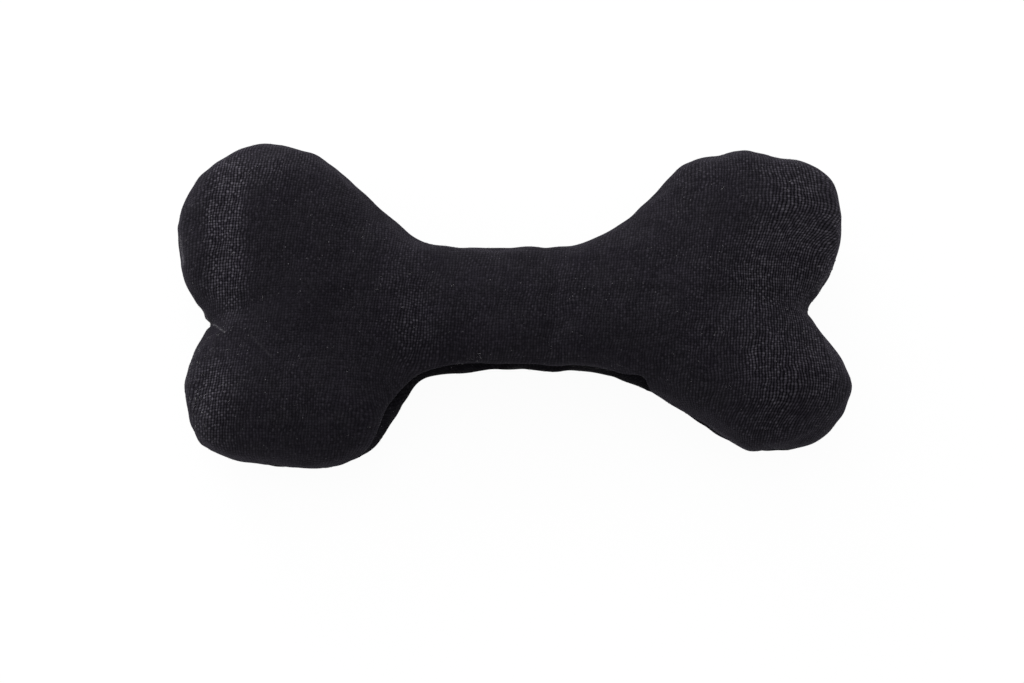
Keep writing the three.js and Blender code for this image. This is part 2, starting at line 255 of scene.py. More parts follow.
def make_object(
    name: str, points: np.ndarray, faces: list, flat: np.ndarray | None = None
) -> bpy.types.Object:
    """Makes a smooth-shaded mesh object at the origin.

    Args:
        name: the piece's name.
        points: its vertices, (n, 3).
        faces: lists of vertex indices.
        flat: each vertex's place on the flat pattern, (n, 2), for a UV map.

    Returns:
        The new object, linked to the scene.
    """
    mesh = bpy.data.meshes.new(name)
    mesh.from_pydata(np.asarray(points, float).tolist(), [], faces)
    mesh.shade_smooth()
    if flat is not None:
        corners = read(mesh.loops, "vertex_index", 1, np.int32)[:, 0]
        layer = mesh.uv_layers.new(name=FLAT_MAP)
        layer.uv.foreach_set("vector", flat[corners].astype(np.float32).ravel())
    mesh.validate()
    return linked(name, mesh)


def rides(piece: bpy.types.Object) -> bpy.types.Object:
    """Puts a piece on the toy's one body."""
    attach(piece, BODY)
    return piece


def final_mesh(piece: bpy.types.Object) -> bpy.types.Mesh:
    """A new mesh with the piece's modifiers applied."""
    return bpy.data.meshes.new_from_object(piece.evaluated_get(bpy.context.evaluated_depsgraph_get()))


def coordinates(mesh: bpy.types.Mesh) -> np.ndarray:
    """A mesh's vertices as an array (n, 3)."""
    return read(mesh.vertices, "co", 3, np.float32).astype(float)


def move_to(mesh: bpy.types.Mesh, points: np.ndarray) -> None:
    """Puts a mesh's vertices at new places."""
    mesh.vertices.foreach_set("co", points.astype(np.float32).ravel())


def voxels(piece: bpy.types.Object, size: float) -> bpy.types.Mesh:
    """Remeshes an object in voxels of that size and takes the object away."""
    remesh = piece.modifiers.new("voxels", "REMESH")
    remesh.mode = "VOXEL"
    remesh.voxel_size = size
    mesh = final_mesh(piece)
    bpy.data.objects.remove(piece)
    return mesh


def write_floats(piece: bpy.types.Object, name: str, values: np.ndarray) -> None:
    """Writes a number at each vertex, for the material to read."""
    attribute = piece.data.attributes.new(name, "FLOAT", "POINT")
    attribute.data.foreach_set("value", values.astype(np.float32))


def strip_faces(indices: np.ndarray, flip: bool = False) -> list:
    """Quads between the rows of a table of vertex indices whose columns close on themselves.

    Args:
        indices: (rows, columns) vertex indices. Neighbours may share a vertex at a pole.
        flip: turns each face round.

    Returns:
        Lists of three or four indices, with a corner dropped where two are one vertex.
    """
    right = np.roll(indices, -1, axis=1)
    quads = np.stack([indices[:-1], indices[1:], right[1:], right[:-1]], -1).reshape(-1, 4)
    if flip:
        quads = quads[:, ::-1]
    twice = quads == np.roll(quads, 1, axis=1)
    whole = quads[~twice.any(1)].tolist()
    pointed = quads[twice.sum(1) == 1]
    return whole + pointed[~twice[twice.sum(1) == 1]].reshape(-1, 3).tolist()


def tubes(paths: np.ndarray, radius: float | np.ndarray, sides: int) -> tuple[np.ndarray, list]:
    """Closed tubes, each a regular polygon carried along its path.

    A ring's frame is the path's direction, its cross product with a fixed slanted line, and the
    cross product of those two.

    Args:
        paths: (tubes, steps, 3) centre points.
        radius: one radius, or one for each step.
        sides: corners of the polygon.

    Returns:
        Vertices (n, 3), and faces with both ends closed.
    """
    count, steps = paths.shape[:2]
    forward = norm(np.gradient(paths, axis=1))
    across = norm(np.cross(forward, norm(np.array(SLANTED))))
    up = np.cross(forward, across)
    angle = np.arange(sides) * (2.0 * math.pi / sides)
    width = np.broadcast_to(np.asarray(radius, float), (count, steps))[..., None, None]
    ring = np.cos(angle)[:, None] * across[:, :, None] + np.sin(angle)[:, None] * up[:, :, None]
    points = (paths[:, :, None] + width * ring).reshape(-1, 3)
    index = np.arange(count * steps * sides).reshape(count, steps, sides)
    right = np.roll(index, -1, axis=2)
    walls = np.stack([index[:, :-1], right[:, :-1], right[:, 1:], index[:, 1:]], -1).reshape(-1, 4)
    ends = np.concatenate([index[:, 0, ::-1], index[:, -1]]).reshape(-1, sides)
    return points, walls.tolist() + ends.tolist()


def relax(points: np.ndarray, edges: np.ndarray, free: np.ndarray, steps: int) -> np.ndarray:
    """Evens out a surface, a step towards the neighbours' mean and a slightly longer step back.

    Args:
        points: vertices (n, 3).
        edges: pairs of neighbours (m, 2).
        free: how freely each vertex moves, 0 to 1.
        steps: how many pairs of steps.

    Returns:
        The moved vertices.
    """
    ends = np.concatenate([edges, edges[:, ::-1]])
    count = np.bincount(ends[:, 0], minlength=len(points))[:, None]
    moved = points.copy()
    for pace in [0.5, -0.51] * steps:
        totals = [np.bincount(ends[:, 0], moved[ends[:, 1], k], len(points)) for k in range(3)]
        moved += pace * free[:, None] * (np.stack(totals, -1) / np.maximum(count, 1) - moved)
    return moved


# The toy's shape


@dataclass(frozen=True)
class Fold:
    """A crease in a panel's cloth that runs inwards from the seam and fades out.

    Its depth is negative where it stands up as a tuck. On its left the cloth may swell over it, in
    a crest whose place and width are given in widths of the fold.
    """

    start: tuple[float, float]
    end: tuple[float, float]
    depth: float
    width: float
    swell: float = 0.0
    crest_place: float = 1.8
    crest_width: float = 1.2

    def inward(self, points: np.ndarray, half_sizes: np.ndarray) -> np.ndarray:
        """How far the cloth is drawn in at each point: a bump across the fold's line."""
        ends = [np.array(end) * half_sizes for end in (self.start, self.end)]
        distance, share = segment_distance(points, *ends)
        past_crest = distance - self.crest_place * self.width
        crest = self.swell * bump(past_crest, self.crest_width * self.width)
        return (1.0 - share) * (self.depth * bump(distance, self.width) - crest)


@dataclass(frozen=True)
class Puckers:
    """Short gathers where the seam is shorter than the cloth: rounded grooves that fade inwards."""

    count: int = 96
    depth: tuple[float, float] = (0.08 * MM, 0.32 * MM)
    width: tuple[float, float] = (1.1 * MM, 2.4 * MM)
    reach: tuple[float, float] = (3.5 * MM, 10.0 * MM)

    def inward(self, arc: np.ndarray, from_seam: np.ndarray, convex: np.ndarray, seed: int) -> np.ndarray:
        """How far the gathers draw the cloth in.

        Args:
            arc: each column's place along the seam.
            from_seam: (rows, columns) distance over the cloth from the seam.
            convex: how strongly the seam bulges at each column, 0 to 1.
            seed: the panel's own random seed.

        Returns:
            (rows, columns) depths, the sum of depth exp(-(across / width)^2 - (inwards / reach)^2).
        """
        rng = np.random.default_rng(seed)
        length = ring_length(arc)
        place = (np.arange(self.count) + rng.uniform(0.1, 0.9, self.count)) * length / self.count
        spans = (self.depth, self.width, self.reach)
        depth, width, reach = (rng.uniform(*span, self.count) for span in spans)
        across = (arc[:, None] - place + length / 2) % length - length / 2
        ridges = depth * bump(across, width) * convex[:, None]
        return np.einsum("cp,rcp->rc", ridges, bump(from_seam[..., None], reach))


@dataclass
class Columns:
    """The columns of the grid, one half section of the toy each, as arrays."""

    root: np.ndarray
    edge: np.ndarray
    along: np.ndarray
    outward: np.ndarray
    reach: np.ndarray
    slant: np.ndarray
    crown: np.ndarray
    lift: np.ndarray
    steepness: np.ndarray
    convex: np.ndarray
    arc: np.ndarray


@dataclass
class ToyShape:
    """The stuffed toy's form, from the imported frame's box and a few sizes of its own."""

    half_length: float
    half_width: float
    seam_height: float
    knuckle_thickness: float
    waist_thickness: float = 31.0 * MM
    waist_share: float = 0.25
    seam_gap: float = 0.3 * MM
    seam_draw: float = 0.8 * MM
    seam_roll: float = 1.9 * MM
    seam_allowance: float = 4.0 * MM
    seam_lift: float = 4.6 * MM
    lift_from_share: float = -0.43
    lift_to_share: float = 0.395
    lift_fade_share: float = 0.1
    tuck_fade_share: float = 0.02
    more_lift: Spots = Spots(
        0.0,
        (
            (-0.37, -0.72, 0.055, 0.4, 2.6 * MM), (-0.25, -0.42, 0.06, 0.3, -0.8 * MM),
            (0.06, -0.4, 0.14, 0.3, -2.2 * MM), (0.26, -0.43, 0.07, 0.3, -1.3 * MM),
            (0.36, -0.48, 0.035, 0.3, 1.8 * MM), (0.66, -0.86, 0.08, 0.2, -2.2 * MM),
        ),
    )
    seam_drop: float = 3.4 * MM
    drop_from_share: float = 0.3
    drop_to_share: float = 0.75
    drop_fades: tuple[float, float] = (2.0, 4.0)
    convex_blur: float = 6.0
    crease_reach: float = 11.0 * MM
    crease_sharpness: float = 0.15
    least_slant: float = 0.5

    @classmethod
    def from_frame(cls) -> "ToyShape":
        """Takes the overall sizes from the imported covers."""
        (front_low, front_high), (back_low, _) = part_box("front_cover"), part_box("back_cover")
        low, high = np.minimum(front_low, back_low), np.array(front_high)
        seam = front_low[2] - cls.seam_gap / 2 + cls.seam_drop
        return cls(
            half_length=(high[0] - low[0]) / 2,
            half_width=(high[1] - low[1]) / 2,
            seam_height=seam,
            knuckle_thickness=2 * (high[2] - seam),
        )

    @property
    def half_sizes(self) -> np.ndarray:
        """Half the length and half the width."""
        return np.array([self.half_length, self.half_width])

    def root_points(self) -> dict[str, np.ndarray]:
        """The roots' places in plan."""
        return {name: np.array(share) * self.half_sizes for name, share in ROOT_SHARES.items()}

    def outline(self, places: np.ndarray) -> tuple[np.ndarray, np.ndarray]:
        """Points on the seam's outline, a closed centripetal Catmull-Rom curve through the knots.

        Args:
            places: positions along it, counted in knots.

        Returns:
            The points and the directions there, (n, 2) each.
        """
        knots = np.array([knot for stretch in STRETCHES for knot in stretch.knots]) * self.half_sizes
        first = np.floor(places).astype(int)
        before, start, end, after = (knots[(first + k) % len(knots)] for k in (-1, 0, 1, 2))
        gaps = [
            np.sqrt(np.linalg.norm(b - a, axis=-1, keepdims=True))
            for a, b in ((before, start), (start, end), (end, after))
        ]
        pace = (end - start) / gaps[1]
        slope_start = (start - before) / gaps[0] - (end - before) / (gaps[0] + gaps[1]) + pace
        slope_end = pace - (after - start) / (gaps[1] + gaps[2]) + (after - end) / gaps[2]
        slope_start, slope_end = slope_start * gaps[1], slope_end * gaps[1]
        t = (places - first)[:, None]
        square = 2 * (start - end) + slope_start + slope_end
        linear = 3 * (end - start) - 2 * slope_start - slope_end
        points = ((square * t + linear) * t + slope_start) * t + start
        return points, norm((3 * square * t + 2 * linear) * t + slope_start)

    def places_of(self, stretch: Stretch, first_knot: int) -> np.ndarray:
        """The columns' places in one stretch, evenly spaced along its length."""
        dense = first_knot + np.linspace(0.0, len(stretch.knots), 400)
        points, _ = self.outline(dense)
        length = np.concatenate([[0.0], np.cumsum(np.linalg.norm(np.diff(points, axis=0), axis=1))])
        return np.interp(np.arange(stretch.columns) / stretch.columns * length[-1], length, dense)

    def columns(self) -> Columns:
        """Lays the columns round the toy, from the roots' lines to the seam."""
        roots = self.root_points()
        middle = (roots["left_fork"] + roots["right_fork"]) / 2
        half_span = (roots["right_fork"][0] - roots["left_fork"][0]) / 2
        places, root, convex, notches, knot = [], [], [], [], 0
        for stretch in STRETCHES:
            share = (np.arange(stretch.columns) / stretch.columns)[:, None]
            places.append(self.places_of(stretch, knot))
            root.append(roots[stretch.start] * (1 - share) + roots[stretch.end] * share)
            convex.append(np.full(stretch.columns, float(stretch.start == stretch.end)))
            if stretch.at_notch:
                notches.append(np.array(stretch.knots[0]) * self.half_sizes)
            knot += len(stretch.knots)
        root = np.concatenate(root)
        edge, tangent = self.outline(np.concatenate(places))
        outward = np.stack([tangent[:, 1], -tangent[:, 0]], -1)
        along = norm(edge - root)
        to_notch = np.min([np.linalg.norm(edge - notch, axis=1) for notch in notches], axis=0)
        swell = smoothstep(np.abs(root[:, 0] - middle[0]) / half_span, self.waist_share, 1.0)
        crown = (self.waist_thickness + (self.knuckle_thickness - self.waist_thickness) * swell) / 2
        fade = self.lift_fade_share
        place = edge[:, 0] / self.half_length
        lifted = smoothstep(place, self.lift_from_share - fade, self.lift_from_share + fade)
        tuck = self.lift_to_share
        past_tuck = smoothstep(place, tuck - self.tuck_fade_share, tuck + self.tuck_fade_share)
        lifted *= 1 - past_tuck
        dropped = smoothstep(-edge[:, 1] / self.half_width, self.drop_from_share, self.drop_to_share)
        fades = (tuck + count * fade for count in self.drop_fades)
        dropped = np.maximum(dropped, past_tuck * (1 - smoothstep(place, *fades)))
        lift = self.seam_lift * lifted - self.seam_drop * dropped * (1 - lifted)
        lift += self.more_lift.at(edge / self.half_sizes)
        steps = np.linalg.norm(np.roll(edge, -1, axis=0) - edge, axis=1)
        return Columns(
            root=root,
            edge=edge,
            along=along,
            outward=outward,
            reach=np.linalg.norm(edge - root, axis=1),
            slant=np.maximum((along * outward).sum(1), self.least_slant),
            crown=crown,
            lift=np.where(edge[:, 1] < 0, lift, 0.0),
            steepness=1 + self.crease_sharpness * bump(to_notch, self.crease_reach),
            convex=self.round_blur(np.concatenate(convex), self.convex_blur),
            arc=np.concatenate([[0.0], np.cumsum(steps)[:-1]]),
        )

    @staticmethod
    def round_blur(values: np.ndarray, width: float) -> np.ndarray:
        """Blurs values that go round in a ring, by a Gaussian of that width in columns."""
        turns = np.fft.rfftfreq(len(values)) * 2 * math.pi
        return np.fft.irfft(np.fft.rfft(values) * np.exp(-((turns * width) ** 2) / 2), len(values))

    def layer(
        self, columns: Columns, face: Face, angles: np.ndarray, inset: float = 0.0, base: float = 0.0
    ) -> np.ndarray:
        """A surface that lies inside the cloth's face.

        Each column is a quarter of a rounded section: its height goes with the sine of the angle to
        the column's steepness, and its reach with the cosine. Where the seam lies beyond the toy's
        middle, the section starts that far round its ellipse, so that it bulges out over the seam.
        Close to the seam the stitches draw the cloth in by a Gaussian of the height.

        Args:
            columns: the columns that it stands on.
            face: the panel.
            angles: one for each row, from a right angle over the root to 0 at the seam.
            inset: how far it lies inside the cloth's face.
            base: how far from the seam it starts.

        Returns:
            Points (rows, columns, 3).
        """
        angles = angles[:, None]
        tall = columns.crown - inset
        towards = face.value * columns.lift
        short = np.maximum(base, (tall - towards) * np.sin(angles) ** columns.steepness) - base
        start = np.arcsin(np.minimum(0.0, towards) / columns.crown)
        turn = start + angles / (math.pi / 2) * (math.pi / 2 - start)
        upright = tall * np.sign(turn) * np.abs(np.sin(turn)) ** columns.steepness
        full = np.maximum(0.0, upright - towards - base)
        from_seam = np.where(towards > 0, short, full)
        level = np.sqrt(1 - (columns.lift / columns.crown) ** 2)
        spread = np.where(towards > 0, np.cos(angles) * level, np.cos(turn))
        draw = self.seam_draw * (bump(from_seam, self.seam_roll) - 0.5)
        reach = (columns.reach - (inset + draw) / columns.slant) * spread
        plan = columns.root + columns.along * reach[..., None]
        upright = self.seam_height + columns.lift + face.value * (base + from_seam)
        return np.concatenate([plan, upright[..., None]], -1)


def weld(grid: np.ndarray) -> tuple[np.ndarray, np.ndarray]:
    """Numbers a grid's points, and makes one of those that meet at a crown.

    Args:
        grid: points (rows, columns, 3).

    Returns:
        The first grid place of each point, and the table of the points' numbers (rows, columns).
    """
    places = np.round(grid.reshape(-1, 3) / WELD_DISTANCE).astype(np.int64)
    _, first, numbers = np.unique(places, axis=0, return_index=True, return_inverse=True)
    return first, numbers.reshape(grid.shape[:2])


def grid_normals(grid: np.ndarray, face: Face) -> np.ndarray:
    """Unit normals of a panel's grid, the cross product of its rows' and its columns' slopes.

    Args:
        grid: points (rows, columns, 3), from the crown to the seam and closed round it.
        face: the panel.

    Returns:
        Normals that point out of the toy. The crown's point straight up or down.
    """
    downhill = np.gradient(grid, axis=0)
    round_it = np.roll(grid, -1, axis=1) - np.roll(grid, 1, axis=1)
    normals = norm(np.cross(downhill, round_it) * face.value)
    normals[0] = (0.0, 0.0, face.value)
    return normals


def pressed(points: np.ndarray, inset: float = 0.0) -> np.ndarray:
    """Flattens what would sink into the table, by half of z + sqrt(z^2 + softness^2)."""
    flat = points.copy()
    height = points[..., 2] - inset
    flat[..., 2] = inset + (height + np.sqrt(height**2 + REST_SOFTNESS**2)) / 2
    return flat


# The cover


@dataclass
class ClothPass:
    """Blows up a coarse copy of the sewn cover over its filling, to find how the cloth creases."""

    voxel: float = 2.3 * MM
    enlarged: float = 20.0
    pressure: float = 4.0
    spare_cloth: float = 0.035
    frames: int = 20
    farthest: float = 1.3 * MM
    spread: float = 1.7 * MM
    slow_spread: float = 5.0 * MM
    pinned: float = 2.6 * MM
    chunk: int = 1500
    rest: np.ndarray = field(default_factory=lambda: np.zeros((1, 3)))
    moves: np.ndarray = field(default_factory=lambda: np.zeros((1, 3)))

    def run(self, points: np.ndarray, faces: list, seam: np.ndarray) -> None:
        """Simulates the cloth and keeps how far each of its points moved.

        Args:
            points: the closed cover's vertices.
            faces: its faces.
            seam: points along the seam, which stays where it is.
        """
        mesh = voxels(make_object("cover_for_cloth", points, faces), self.voxel)
        self.rest = coordinates(mesh)
        move_to(mesh, self.rest * self.enlarged)
        cloth_body = linked("cloth_body", mesh)
        gap = np.concatenate(
            [
                np.min(np.linalg.norm(part[:, None] - seam[::2], axis=-1), axis=1)
                for part in np.array_split(self.rest, len(self.rest) // self.chunk + 1)
            ]
        )
        pins = cloth_body.vertex_groups.new(name="seam")
        pins.add(np.flatnonzero(gap < self.pinned).tolist(), 1.0, "REPLACE")
        self.settle(cloth_body, pins.name)
        moved = coordinates(final_mesh(cloth_body)) / self.enlarged
        bpy.data.objects.remove(cloth_body)
        bpy.context.scene.frame_set(1)
        moves = moved - self.rest
        length = np.linalg.norm(moves, axis=1, keepdims=True)
        held = self.farthest * np.tanh(length / self.farthest)
        self.moves = moves * (held / np.maximum(length, 1e-9))
        self.moves = self.creases()
        kept = np.linalg.norm(self.moves, axis=1)
        LOG.info(
            "cloth: %d points, moved %.2f mm at most, creases %.2f mm, at most %.2f mm",
            len(moves), length.max() / MM, kept.mean() / MM, kept.max() / MM,
        )

    def settle(self, body: bpy.types.Object, pins: str) -> None:
        """Gives the body its cloth settings and steps through the frames."""
        cloth = body.modifiers.new("cloth", "CLOTH")
        settings = cloth.settings
        settings.quality = 6
        settings.mass = 0.3
        settings.use_pressure = True
        settings.uniform_pressure_force = self.pressure
        settings.shrink_min = -self.spare_cloth
        settings.tension_stiffness = settings.compression_stiffness = 20.0
        settings.bending_stiffness = 0.6
        settings.vertex_group_mass = pins
        settings.effector_weights.gravity = 0.0
        cloth.point_cache.frame_start = 1
        cloth.point_cache.frame_end = self.frames
        for step in range(1, self.frames + 1):
            bpy.context.scene.frame_set(step)

    def carried(self, points: np.ndarray) -> np.ndarray:
        """The cloth's moves at other points, as means weighted by a Gaussian of the distance.

        Args:
            points: (n, 3).

        Returns:
            Moves (n, 3), nothing where the cloth pass was skipped.
        """
        parts = []
        for part in np.array_split(points, len(points) // self.chunk + 1):
            gap = ((part[:, None] - self.rest) ** 2).sum(-1)
            nearest = gap.min(1, keepdims=True)
            weight = np.exp(-(gap - nearest) / (2 * self.spread**2))
            near = np.exp(-np.maximum(0.0, nearest - self.spread**2) / (8 * self.spread**2))
            parts.append(near * (weight @ self.moves) / weight.sum(1, keepdims=True))
        return np.concatenate(parts)

    def creases(self) -> np.ndarray:
        """The moves less their slow part, which is a Gaussian mean over the points round about."""
        slow = ClothPass(rest=self.rest, moves=self.moves, spread=self.slow_spread)
        return self.moves - slow.carried(self.rest)


@dataclass
class Skin:
    """One face of a panel's cloth: the plain form, and how far its details move it."""

    face: Face
    plain: np.ndarray
    normals: np.ndarray
    first: np.ndarray
    numbers: np.ndarray
    moves: np.ndarray

    @property
    def moved(self) -> np.ndarray:
        """The cloth's face with its details, as a grid."""
        return pressed(self.plain + self.moves)


@dataclass
class Cover:
    """The two panels of the cover, sewn together round the edge and turned right side out."""

    shape: ToyShape
    finishes: dict[Face, "WovenCotton"]
    clarity: Spots
    rib: Spots
    # Painted light and shade on each panel's colour, as spots.
    painted_shading: dict[Face, Spots]
    lean: Spots
    cloth: float = 1.0 * MM
    crown_rows: int = 30
    seam_rows: int = 11
    seam_rows_angle: float = math.radians(15.0)
    inner_step: int = 2
    fill: float = 0.95
    relax_steps: int = 5
    relax_from: float = 4.0 * MM
    relax_to: float = 11.0 * MM
    calm_seam: float = 2.2 * MM
    give: float = 1.0
    give_fades: tuple[float, float] = (0.3, 0.7)
    steep_between: tuple[float, float] = (0.1, 0.5)
    steep_calm: float = 0.55
    rolled_reach: float = 1.6 * MM
    rolled_lift: float = 2.0 * MM
    rolled_shade: float = 0.5
    most_look: float = 1.5
    pull_columns: float = 26.0
    pull_reach: float = 9.0 * MM
    pull_between: tuple[float, float] = (0.3, 0.85)
    pull_blur: float = 4.0
    lumps: Lumps = Lumps(0.34 * MM, 12.0 * MM, 34.0 * MM)
    dimples: Lumps = Lumps(0.1 * MM, 4.5 * MM, 9.0 * MM, 14)
    puckers: Puckers = Puckers()
    front_folds: tuple[Fold, ...] = (
        Fold((-0.905, -0.13), (-0.8, -0.3), 1.0 * MM, 1.1 * MM, 0.5 * MM),
        Fold((-0.8, -0.22), (-0.68, -0.44), 0.5 * MM, 1.2 * MM, 0.3 * MM),
        Fold((0.885, -0.035), (0.8, -0.05), 0.6 * MM, 1.6 * MM, 0.3 * MM),
    )
    back_folds: tuple[Fold, ...] = (
        Fold((-0.92, -0.1), (-0.76, -0.06), 1.1 * MM, 2.0 * MM),
        Fold((0.885, -0.04), (0.74, 0.0), 1.0 * MM, 2.0 * MM),
        Fold((0.04, -0.42), (0.04, -0.1), 0.5 * MM, 5.0 * MM),
    )
    cloth_pass: ClothPass = field(default_factory=ClothPass)

    def __post_init__(self) -> None:
        """Works out both faces, then lets the cloth settle."""
        self.columns = self.shape.columns()
        self.skins = {face: self.skin(face) for face in Face}
        self.settle()

    @property
    def base(self) -> float:
        """How far each panel keeps from the seam's middle."""
        return self.shape.seam_gap / 2

    @property
    def angles(self) -> np.ndarray:
        """The rows' angles, closer together at the seam."""
        crown = np.linspace(math.pi / 2, self.seam_rows_angle, self.crown_rows, endpoint=False)
        return np.concatenate([crown, np.linspace(self.seam_rows_angle, 0.0, self.seam_rows)])

    def skin(self, face: Face) -> Skin:
        """A panel's outer face: its form evened out over the crown, then its details."""
        plain = self.shape.layer(self.columns, face, self.angles, base=self.base)
        normals = grid_normals(plain, face)
        first, numbers = weld(plain)
        climb = np.linalg.norm(np.diff(plain, axis=0), axis=2)
        from_seam = np.concatenate([np.cumsum(climb[::-1], axis=0)[::-1], np.zeros((1, climb.shape[1]))])
        points = plain.reshape(-1, 3)[first]
        free = smoothstep(from_seam.reshape(-1)[first], self.relax_from, self.relax_to)
        beside = np.stack([numbers, np.roll(numbers, -1, axis=1)], -1).reshape(-1, 2)
        below = np.stack([numbers[:-1], numbers[1:]], -1).reshape(-1, 2)
        edges = np.concatenate([beside[beside[:, 0] != beside[:, 1]], below])
        eased = relax(points, edges, free, self.relax_steps)[numbers]
        folds = self.front_folds if face is Face.FRONT else self.back_folds
        calm = smoothstep(from_seam, 0.0, self.calm_seam)
        inward = sum(fold.inward(plain, self.shape.half_sizes) for fold in folds)
        inward = calm * (inward - self.lumps.at(plain) - self.dimples.at(plain))
        seed = SEED + face.value
        inward += calm * self.puckers.inward(self.columns.arc, from_seam, self.columns.convex, seed)
        return Skin(face, plain, normals, first, numbers, eased - plain - normals * inward[..., None])

    def closed_body(self) -> tuple[np.ndarray, list]:
        """Both outer faces as one closed surface, joined along the seam."""
        front, back = self.skins[Face.FRONT].moved, self.skins[Face.BACK].moved
        seam = (front[-1:] + back[-1:]) / 2
        grid = np.concatenate([front[:-1], seam, back[-2::-1]])
        first, numbers = weld(grid)
        return grid.reshape(-1, 3)[first], strip_faces(numbers)

    def settle(self) -> None:
        """Runs the cloth pass and adds its moves to both faces, none at the seam itself."""
        points, faces = self.closed_body()
        self.cloth_pass.run(points, faces, self.skins[Face.FRONT].moved[-1])
        for skin in self.skins.values():
            still = skin.moved
            moves = self.cloth_pass.carried(still.reshape(-1, 3)[skin.first])[skin.numbers]
            from_seam = np.linalg.norm(still - still[-1:], axis=2, keepdims=True)
            skin.moves = skin.moves + moves * smoothstep(from_seam, 0.0, self.calm_seam)

    def flat_pattern(self, grid: np.ndarray) -> np.ndarray:
        """Where each point lay on the flat cloth, out from its root by its distance over the cloth.

        On a slope the weave gives way, so that the distance grows like the one in plan. Beside the
        seam the upright threads turn along it. They lean all over, and more where they are drawn.
        """
        climb = np.linalg.norm(np.diff(grid, axis=0), axis=2)
        in_plan = np.linalg.norm(np.diff(grid[..., :2], axis=0), axis=2)
        steep = 1 - in_plan / np.maximum(climb, WELD_DISTANCE)
        rate = 1 - self.give * steep * (1 - smoothstep(steep, *self.give_fades))
        away = np.concatenate([np.zeros((1, climb.shape[1])), np.cumsum(rate * climb, axis=0)])
        flat = self.columns.root + self.columns.along * away[..., None]
        flat[..., 0] += self.seam_pull() * bump(away[-1] - away, self.pull_reach)
        flat[..., 0] -= self.lean.slopes(grid[..., :2] / self.shape.half_sizes) * self.shape.half_width
        return flat

    def seam_pull(self) -> np.ndarray:
        """How far the upright threads are pulled at the seam, so that they run along its sides.

        It is the seam's own place less its Gaussian mean over its neighbours, where it runs upright.
        """
        place = self.columns.edge[:, 0]
        upright = smoothstep(np.abs(self.columns.outward[:, 0]), *self.pull_between)
        slow = ToyShape.round_blur(place, self.pull_columns)
        return ToyShape.round_blur(upright * (slow - place), self.pull_blur)

    def panel(self, face: Face, name: str, replaced: str) -> bpy.types.Object:
        """Makes one panel: its two faces, and the allowance turned in behind the seam.

        Args:
            face: the panel.
            name: the piece's name.
            replaced: the CAD node that it stands for.

        Returns:
            The panel, dressed and riding.
        """
        skin = self.skins[face]
        outer = skin.moved
        angles, moves = self.angles[:: self.inner_step], skin.moves[:: self.inner_step]
        plain = self.shape.layer(self.columns, face, angles, self.cloth, self.base + self.cloth)
        inner = pressed(plain + moves, self.cloth)
        turned_in = (self.columns.along * (self.shape.seam_allowance / self.columns.slant)[:, None])[None]
        below, above = outer[-1:].copy(), inner[-1:].copy()
        below[..., :2] -= turned_in
        above[..., :2] = below[..., :2]
        grid = np.concatenate([outer, below, above, inner[::-1]])
        flat = self.flat_pattern(outer)
        flat_in = self.flat_pattern(inner)[::-1]
        behind = flat[-1:] + turned_in
        flat = np.concatenate([flat, behind, behind, flat_in])
        first, numbers = weld(grid)
        piece = make_object(
            name,
            grid.reshape(-1, 3)[first],
            strip_faces(numbers, flip=face is Face.BACK),
            flat.reshape(-1, 2)[first],
        )
        shares = grid[..., :2] / self.shape.half_sizes
        weave_left, light_left = self.left_of(skin, len(grid))
        looks = {
            CLARITY: self.clarity.at(shares) * weave_left,
            RIB: self.rib.at(shares),
            PAINTED_SHADING: self.painted_shading[face].at(shares) * light_left,
            ROAM: weave_left,
        }
        for attribute, values in looks.items():
            write_floats(piece, attribute, np.clip(values.reshape(-1)[first], 0.0, self.most_look))
        piece.data.materials.append(self.finishes[face].material())
        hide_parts(replaced)
        return rides(piece)

    def left_of(self, skin: Skin, rows: int) -> tuple[np.ndarray, np.ndarray]:
        """How much of the weave and of the brightness is left over a panel's grid.

        The weave shows and wanders less where the cloth stands steeply. The front takes a painted shade
        where it rolls in over the lifted seam, darker by a Gaussian of the distance. The rows behind keep
        all.

        Args:
            skin: the panel's outer face.
            rows: the rows of the whole grid.

        Returns:
            Two arrays (rows, columns), for the weave and for the brightness.
        """
        steep = self.steep_calm * (1 - smoothstep(np.abs(skin.normals[..., 2]), *self.steep_between))
        from_seam = np.linalg.norm(skin.moved - skin.moved[-1:], axis=2)
        rolled = bump(from_seam, self.rolled_reach) * smoothstep(self.columns.lift, 0.0, self.rolled_lift)
        # Painted shade on the front where it rolls in over the lifted seam.
        shade = self.rolled_shade * rolled * (skin.face is Face.FRONT)
        behind = ((0, rows - len(steep)), (0, 0))
        return 1 - np.pad(steep, behind), 1 - np.pad(shade, behind)

    def build(self) -> list[bpy.types.Object]:
        """Makes both panels."""
        return [
            self.panel(Face.FRONT, "front_panel", "front_cover"),
            self.panel(Face.BACK, "back_panel", "back_cover"),
        ]

    def places(self, face: Face, count: int, rng: np.random.Generator, density: Spots) -> "Places":
        """Picks random places on a panel's outer face.

        Args:
            face: the panel.
            count: how many.
            rng: the random numbers.
            density: how likely each place in plan is.

        Returns:
            The places, each in a cell picked by its area times its density.
        """
        grid = self.skins[face].moved
        corner, down, beside = grid[:-1], grid[1:] - grid[:-1], (np.roll(grid, -1, axis=1) - grid)[:-1]
        across = np.cross(down, beside) * face.value
        weight = np.linalg.norm(across, axis=2) * density.at(corner[..., :2] / self.shape.half_sizes)
        cells = rng.choice(weight.size, count, p=weight.ravel() / weight.sum())
        share = rng.uniform(size=(2, count, 1))
        parts = (corner, down, beside, across)
        corner, down, beside, across = (part.reshape(-1, 3)[cells] for part in parts)
        return Places(corner + share[0] * down + share[1] * beside, norm(across))


# Threads and fibres


@dataclass
class Places:
    """Random places on the cloth, with the cloth's normals there."""

    points: np.ndarray
    normals: np.ndarray


